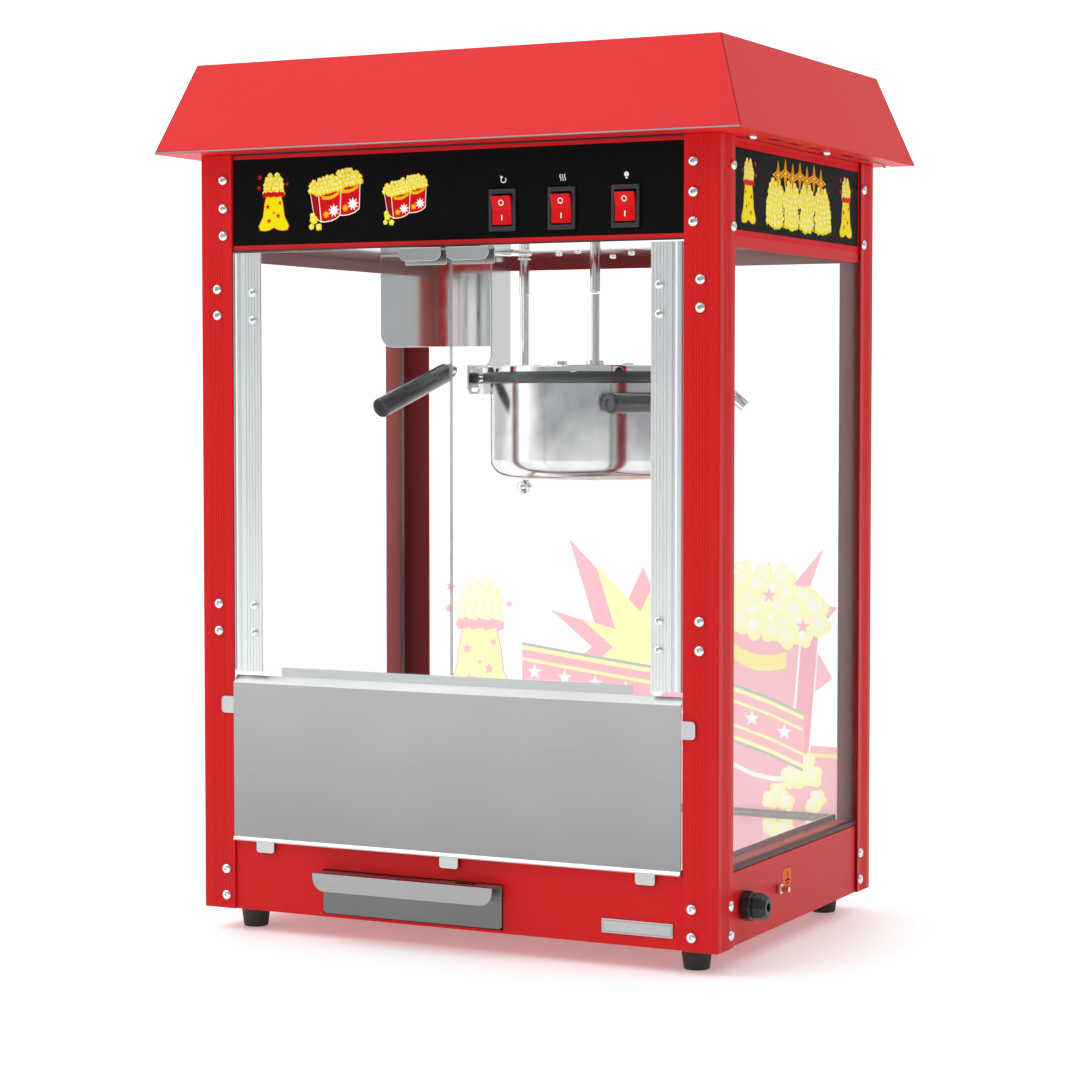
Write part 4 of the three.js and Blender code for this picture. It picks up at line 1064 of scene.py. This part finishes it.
# %% Side labels
def make_side_label(side, sx):
    face_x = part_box(f"header_{side}_panel")[sx > 0].x
    half_w, half_h, frame_w = 146.4, 39.0, 5.2
    art = Artwork(INKS)
    art.add("red", rect(-half_w, -half_h, half_w, half_h), 3)
    art.add("film", rect(-half_w + 1.2, -half_h + frame_w, half_w - 1.2, half_h - frame_w), 4)
    rng = random.Random(5)
    for k in range(4):
        x = -54 + 36 * k
        line = [(x - 19, -22), (x, -25), (x + 19, -22)]
        level = draw_heap(art, line, 34, 3.9, 6 + 3 * k, rng, 1.0)
    for k in range(7):
        x, y = -50 + 16.8 * k, 17 + (2.5 if k % 2 else 0)
        for step, (ink_name, outer, inner) in enumerate((("amber", 12.5, 4.4), ("red", 9.0, 3.0),
                                                         ("yellow", 5.5, 1.6))):
            art.add(ink_name, star(x, y, outer, inner, 4, 90), level + 2 + step)
    for sign in (-1, 1):
        draw_star_bag(art, sign * 95, -28, sign * 1.0, 1.15, 6, 8)
    label = art.lay(f"side_label_{side}", (face_x, 0, LABEL_Z), (0, sx, 0), (0, 0, 1))
    fasten(label, "cabinet")
    print(f"side_label_{side}:", len(art.shapes), "shapes")


for side, sx in SIDES:
    make_side_label(side, sx)

# %% [markdown]
# Each rocker carries the two usual marks: a ring at the top for off, and a bar at the bottom for on.
# They lie on two facets at different slopes, so each is laid on its own plane.

# %% Rocker marks
def make_rocker_marks(index):
    low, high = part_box(f"switch_rocker_{index}")
    centre_x = (low.x + high.x) / 2
    bend_z = joint_point(f"rocker_{index}_rock").z
    lower_y = min(v.co.y for v in frame["nodes"][f"switch_rocker_{index}"].data.vertices
                  if abs(v.co.z - bend_z) < 1e-4)
    slope = math.atan2(lower_y - low.y, high.z - bend_z)
    ring_art = Artwork({"white": INKS["white"]}, MARK_LIFT)
    ring_art.add("white", arc(0, 0, 2.5, 0, 350, 24) + arc(0, 0, 1.7, 350, 0, 24), 1)
    up = Vector((0, -math.sin(slope), math.cos(slope)))
    place = Vector((centre_x, lower_y, bend_z)) + up * FROM_BEND
    bar_art = Artwork({"white": INKS["white"]}, MARK_LIFT)
    bar_art.add("white", rect(-0.5, -2.3, 0.5, 2.3), 1)
    foot = (centre_x, lower_y, bend_z - FROM_BEND)
    for mark in (ring_art.lay(f"off_ring_{index}", place, (1, 0, 0), up),
                 bar_art.lay(f"on_bar_{index}", foot, (1, 0, 0), (0, 0, 1))):
        fasten(mark, f"rocker_{index}")


MARK_LIFT = 0.05
FROM_BEND = 0.0062
for index in (1, 2, 3):
    make_rocker_marks(index)
print("rocker marks:", 2 * index)

# %% [markdown]
# ## The printed back pane
# The back pane carries a large print on its lower half: a burst, a heaped tub, a row of popped corn
# and a ribbon. It is screen-printed in thin inks on the outside, so light passes through it.

# %% Back print
BURST = [(-81, 269), (-33, 257), (-61, 340), (2, 280), (19, 314), (42, 268), (74, 352), (104, 276),
         (150, 322), (160, 284), (205, 337), (186, 285), (219, 281), (192, 250), (214, 214), (170, 180),
         (40, 165), (-50, 180), (-30, 205), (-62, 214), (-36, 234)]


def make_back_print():
    back_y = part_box("window_back")[1].y
    art = Artwork(PANE_INKS, both_faces=True)
    rng = random.Random(9)
    art.add("red", BURST, 0)
    art.add("yellow", shrunk(BURST, 0.76, (62, 236)), 1)
    art.add("red", rect(-219, 70, 219, 150), 2)
    for z in (78, 139):
        art.add("amber", rect(-219, z, 219, z + 4), 3)
    level = draw_tub(art, 219.6, 77.5, -4.2, 5.48, 4, rng, 0.55, 9.5)
    for x, z, radius in ((186, 132, 11), (176, 120, 12), (194, 121, 10), (160, 104, 9), (152, 96, 8),
                         (168, 95, 8), (200, 100, 8), (195, 92, 7)):
        draw_kernel(art, x, z, radius, level, rng)
        level += 3
    wave = [(-112 + 33 * i, 236 - 17 * math.sin(math.pi * i / 20) - 1.6 * i - 1.5 * max(0, i - 5) ** 2)
            for i in range(10)]
    for inset, ink_name in ((0, "grey"), (3, "yellow"), (7, "red"), (15, "yellow"), (18, "red")):
        top = [(x, z - inset) for x, z in wave]
        foot = [(x, z - 56 + inset) for x, z in wave[::-1]]
        art.add(ink_name, top + foot, level)
        level += 1
    for i in range(9):
        droop = 17 * math.sin(math.pi * (i + 0.4) / 20) + 1.6 * i + 1.5 * max(0, i - 4.6) ** 2
        art.add("white", star(-98 + 33 * i, 208 - droop, 8, 3.4, 5), level)
    for x, z in ((150, 290), (184, 262)):
        art.add("red", star(x, z, 8, 3, 5), level)
    draw_star_bag(art, -205, 176, 2.35, 2.55, level + 1, 6)
    printed = art.lay("back_pane_print", (0, back_y, 0), (1, 0, 0), (0, 0, 1))
    fasten(printed, "cabinet")
    print("back print triangles:", sum(len(face.vertices) - 2 for face in printed.data.polygons))


make_back_print()

# %% [markdown]
# ## Glazing strips and the tag
# A dark brown channel holds each fixed pane at its foot, so that the glass doesn't ring on steel.

# %% Glazing strips
def add_bar(name, corners, axis, start, stop, round_mm, material, body="cabinet"):
    """A straight bar: corners are its section in mm, in the two axes that follow axis."""
    work = bmesh.new()
    ends = []
    for along in (start, stop):
        ends.append([])
        for u, v in corners:
            spot = [0.0, 0.0, 0.0]
            spot[axis], spot[(axis + 1) % 3], spot[(axis + 2) % 3] = along * MM, u * MM, v * MM
            ends[-1].append(work.verts.new(spot))
    work.faces.new(ends[0][::-1])
    work.faces.new(ends[1])
    bridge(work, *ends)
    bmesh.ops.recalc_face_normals(work, faces=work.faces)
    bar = make_piece(work, name, [material], 34)
    edge = bar.modifiers.new("edge", "BEVEL")
    edge.width = round_mm * MM
    edge.segments = 2
    edge.harden_normals = True
    fasten(apply_modifiers(bar), body)


STRIP_TALL = 4.5


def make_glazing_strips():
    for side, sx in SIDES:
        low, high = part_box(f"window_{side}")
        inner, outer = (high.x, low.x) if sx < 0 else (low.x, high.x)
        foot = low.z / MM
        section = rect(foot, inner / MM - sx * 1.2, foot + STRIP_TALL, outer / MM + sx * 1.1)
        add_bar(f"glazing_strip_{side}", section, 1, -147.5, 147.5, 0.5, glazing_strip)
    low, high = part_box("window_back")
    foot = low.z / MM
    section = rect(low.y / MM - 1.2, foot, high.y / MM + 1.1, foot + STRIP_TALL)
    add_bar("glazing_strip_back", section, 0, -217.5, 217.5, 0.5, glazing_strip)
    print("glazing strips: 3, each", STRIP_TALL, "mm tall")


make_glazing_strips()

# %% [markdown]
# A small orange tag with a pointed foot hangs by the earthing stud. It carries only the plain
# three-bar mark for earth.

# %% Tag
TAG_MID = -21.3


def make_tag():
    face_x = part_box("base_pan")[1].x
    art = Artwork({"orange": tag_orange, "film": INKS["film"], "white": INKS["white"]}, 0.02)
    sheet = [(-31.4, 54.5), (TAG_MID, 47.5), (-11.2, 54.5), (-11.2, 66), (-13.5, 68), (-29.1, 68),
             (-31.4, 66)]
    art.add("film", shrunk(sheet, 1.05, (TAG_MID, 58)), 0)
    art.add("orange", sheet, 1)
    for half, foot, tall in ((0.8, 58.5, 6.5), (5.6, 56.8, 1.5), (3.6, 54.0, 1.4), (1.6, 51.4, 1.3)):
        art.add("film", rect(TAG_MID - half, foot, TAG_MID + half, foot + tall), 2)
    tag = art.lay("side_tag", (face_x, 0, 0), (0, 1, 0), (0, 0, 1))
    fasten(tag, "cabinet")
    print("tag shapes:", len(art.shapes))


make_tag()

# %% [markdown]
# Thin things finish the sheet metal: the hem along the foot of the tray, bright with a painted
# highlight, the hem under the roof's front, pale with a painted reflection of the floor, dark strips
# of painted shadow above and below the header, the welded seams down the hips, and painted shade in
# the vents under the roof.

# %% Hems, shadow strips, seams and vents
def make_hems():
    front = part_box("deck_tray")[0].y / MM
    section = [(front - 2.2, 82.6), (front + 0.3, 82.6), (front + 0.3, 86.4), (front - 0.6, 86.0),
               (front - 2.2, 83.6)]
    tray = body_of_node["deck_tray"]
    # The hem is a real fold; its bright steel is a painted highlight along it.
    add_bar("tray_hem", section, 0, -217.2, 217.2, 0.2, trim_and_highlight_steel, tray)
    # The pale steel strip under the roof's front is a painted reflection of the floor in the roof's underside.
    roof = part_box("roof_shell")[0]
    front, eave = roof.y / MM, roof.z / MM
    section = [(front - 0.9, eave + 0.3), (front + 0.4, eave + 0.3), (front + 0.4, eave + 1.9),
               (front - 0.2, eave + 1.7)]
    add_bar("roof_hem", section, 0, -279.4, 279.4, 0.2, drawer_and_reflection_steel)
    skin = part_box("header_front_panel")[0].y / MM
    # Dark strips above and below the header: painted shadow in the gaps there.
    for name, foot, head in (("header_seal_top", 688.7, 690.2), ("header_seal_foot", 604.8, 606.2)):
        section = rect(skin - 0.8, foot, skin + 0.4, head)
        add_bar(name, section, 0, -217.4, 217.4, 0.2, rubber_and_shadow_strip)


def make_seams():
    corners = [v.co for v in frame["nodes"]["roof_shell"].data.vertices]
    low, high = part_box("roof_shell")
    rims = ([p for p in corners if p.z < low.z + 0.004], [p for p in corners if p.z > high.z - 0.0002])
    for side, sx in SIDES:
        for end, sy in ENDS:
            inward = Vector((-sx, -sy, -0.5)).normalized() * 0.0003
            start, stop = [max(rim, key=lambda p: sx * p.x + sy * p.y) + inward for rim in rims]
            length = (stop - start).length / MM
            profile = [(0, 1), (0.45, 1), (0.45, length - 0.6), (0, length - 0.6)]
            seam = turned_mesh(f"hip_seam_{end}_{side}", profile, inner_shade_and_seam_coat, start, stop, 12)
            fasten(seam, "cabinet")
    print("each hip seam is", round(length), "mm long")


def make_vents():
    """Dark bars in the roof's underside, between its screws: painted shade for the slots."""
    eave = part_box("roof_shell")[0].z / MM
    for side, sx in SIDES:
        xa, xb = sorted((sx * 259.5, sx * 264.5))
        for index, y in enumerate((-92, -46, 0, 80, 120, 160)):
            add_bar(f"roof_vent_{side}_{index + 1}", rect(eave - 0.12, xa, eave + 0.2, xb), 1, y - 14,
                    y + 14, 0.05, vent_shade_coat)


def make_badge_border():
    low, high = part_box("badge_plate")
    wide, tall = (high.x - low.x) / MM, (high.z - low.z) / MM
    near, far = 1.2, 1.7  # The printed line runs this far in from the plate's edge.
    art = Artwork({"grey": INKS["grey"]}, 0.02)
    for line in ((near, near, wide - near, far), (near, tall - far, wide - near, tall - near),
                 (near, far, far, tall - far), (wide - far, far, wide - near, tall - far)):
        art.add("grey", rect(*line), 0)
    fasten(art.lay("badge_border", low, (1, 0, 0), (0, 0, 1)), "cabinet")
    print("badge border:", round(wide), "by", round(tall), "mm")


make_hems()
make_seams()
make_vents()
make_badge_border()

# %% [markdown]
# The floor is a plain white sweep with a little light of its own, so that it meets the white room
# without a line. The pattern screw isn't part of the machine, so it is removed.

# %% Floor
bpy.data.objects.remove(SCREW_HEAD)
work = bmesh.new()
work.faces.new([work.verts.new(corner) for corner in ((-6, -6, 0), (6, -6, 0), (6, 6, 0), (-6, 6, 0))])
floor_paint = make_finish("studio_floor_paint", "#FCFCFC", "#FCFCFC", 0.6, [(100, 1.0, EVEN)],
                          extra={"Emission Color": linear("#FFFFFF"), "Emission Strength": 0.25})
floor = make_piece(work, "studio_floor", [floor_paint])
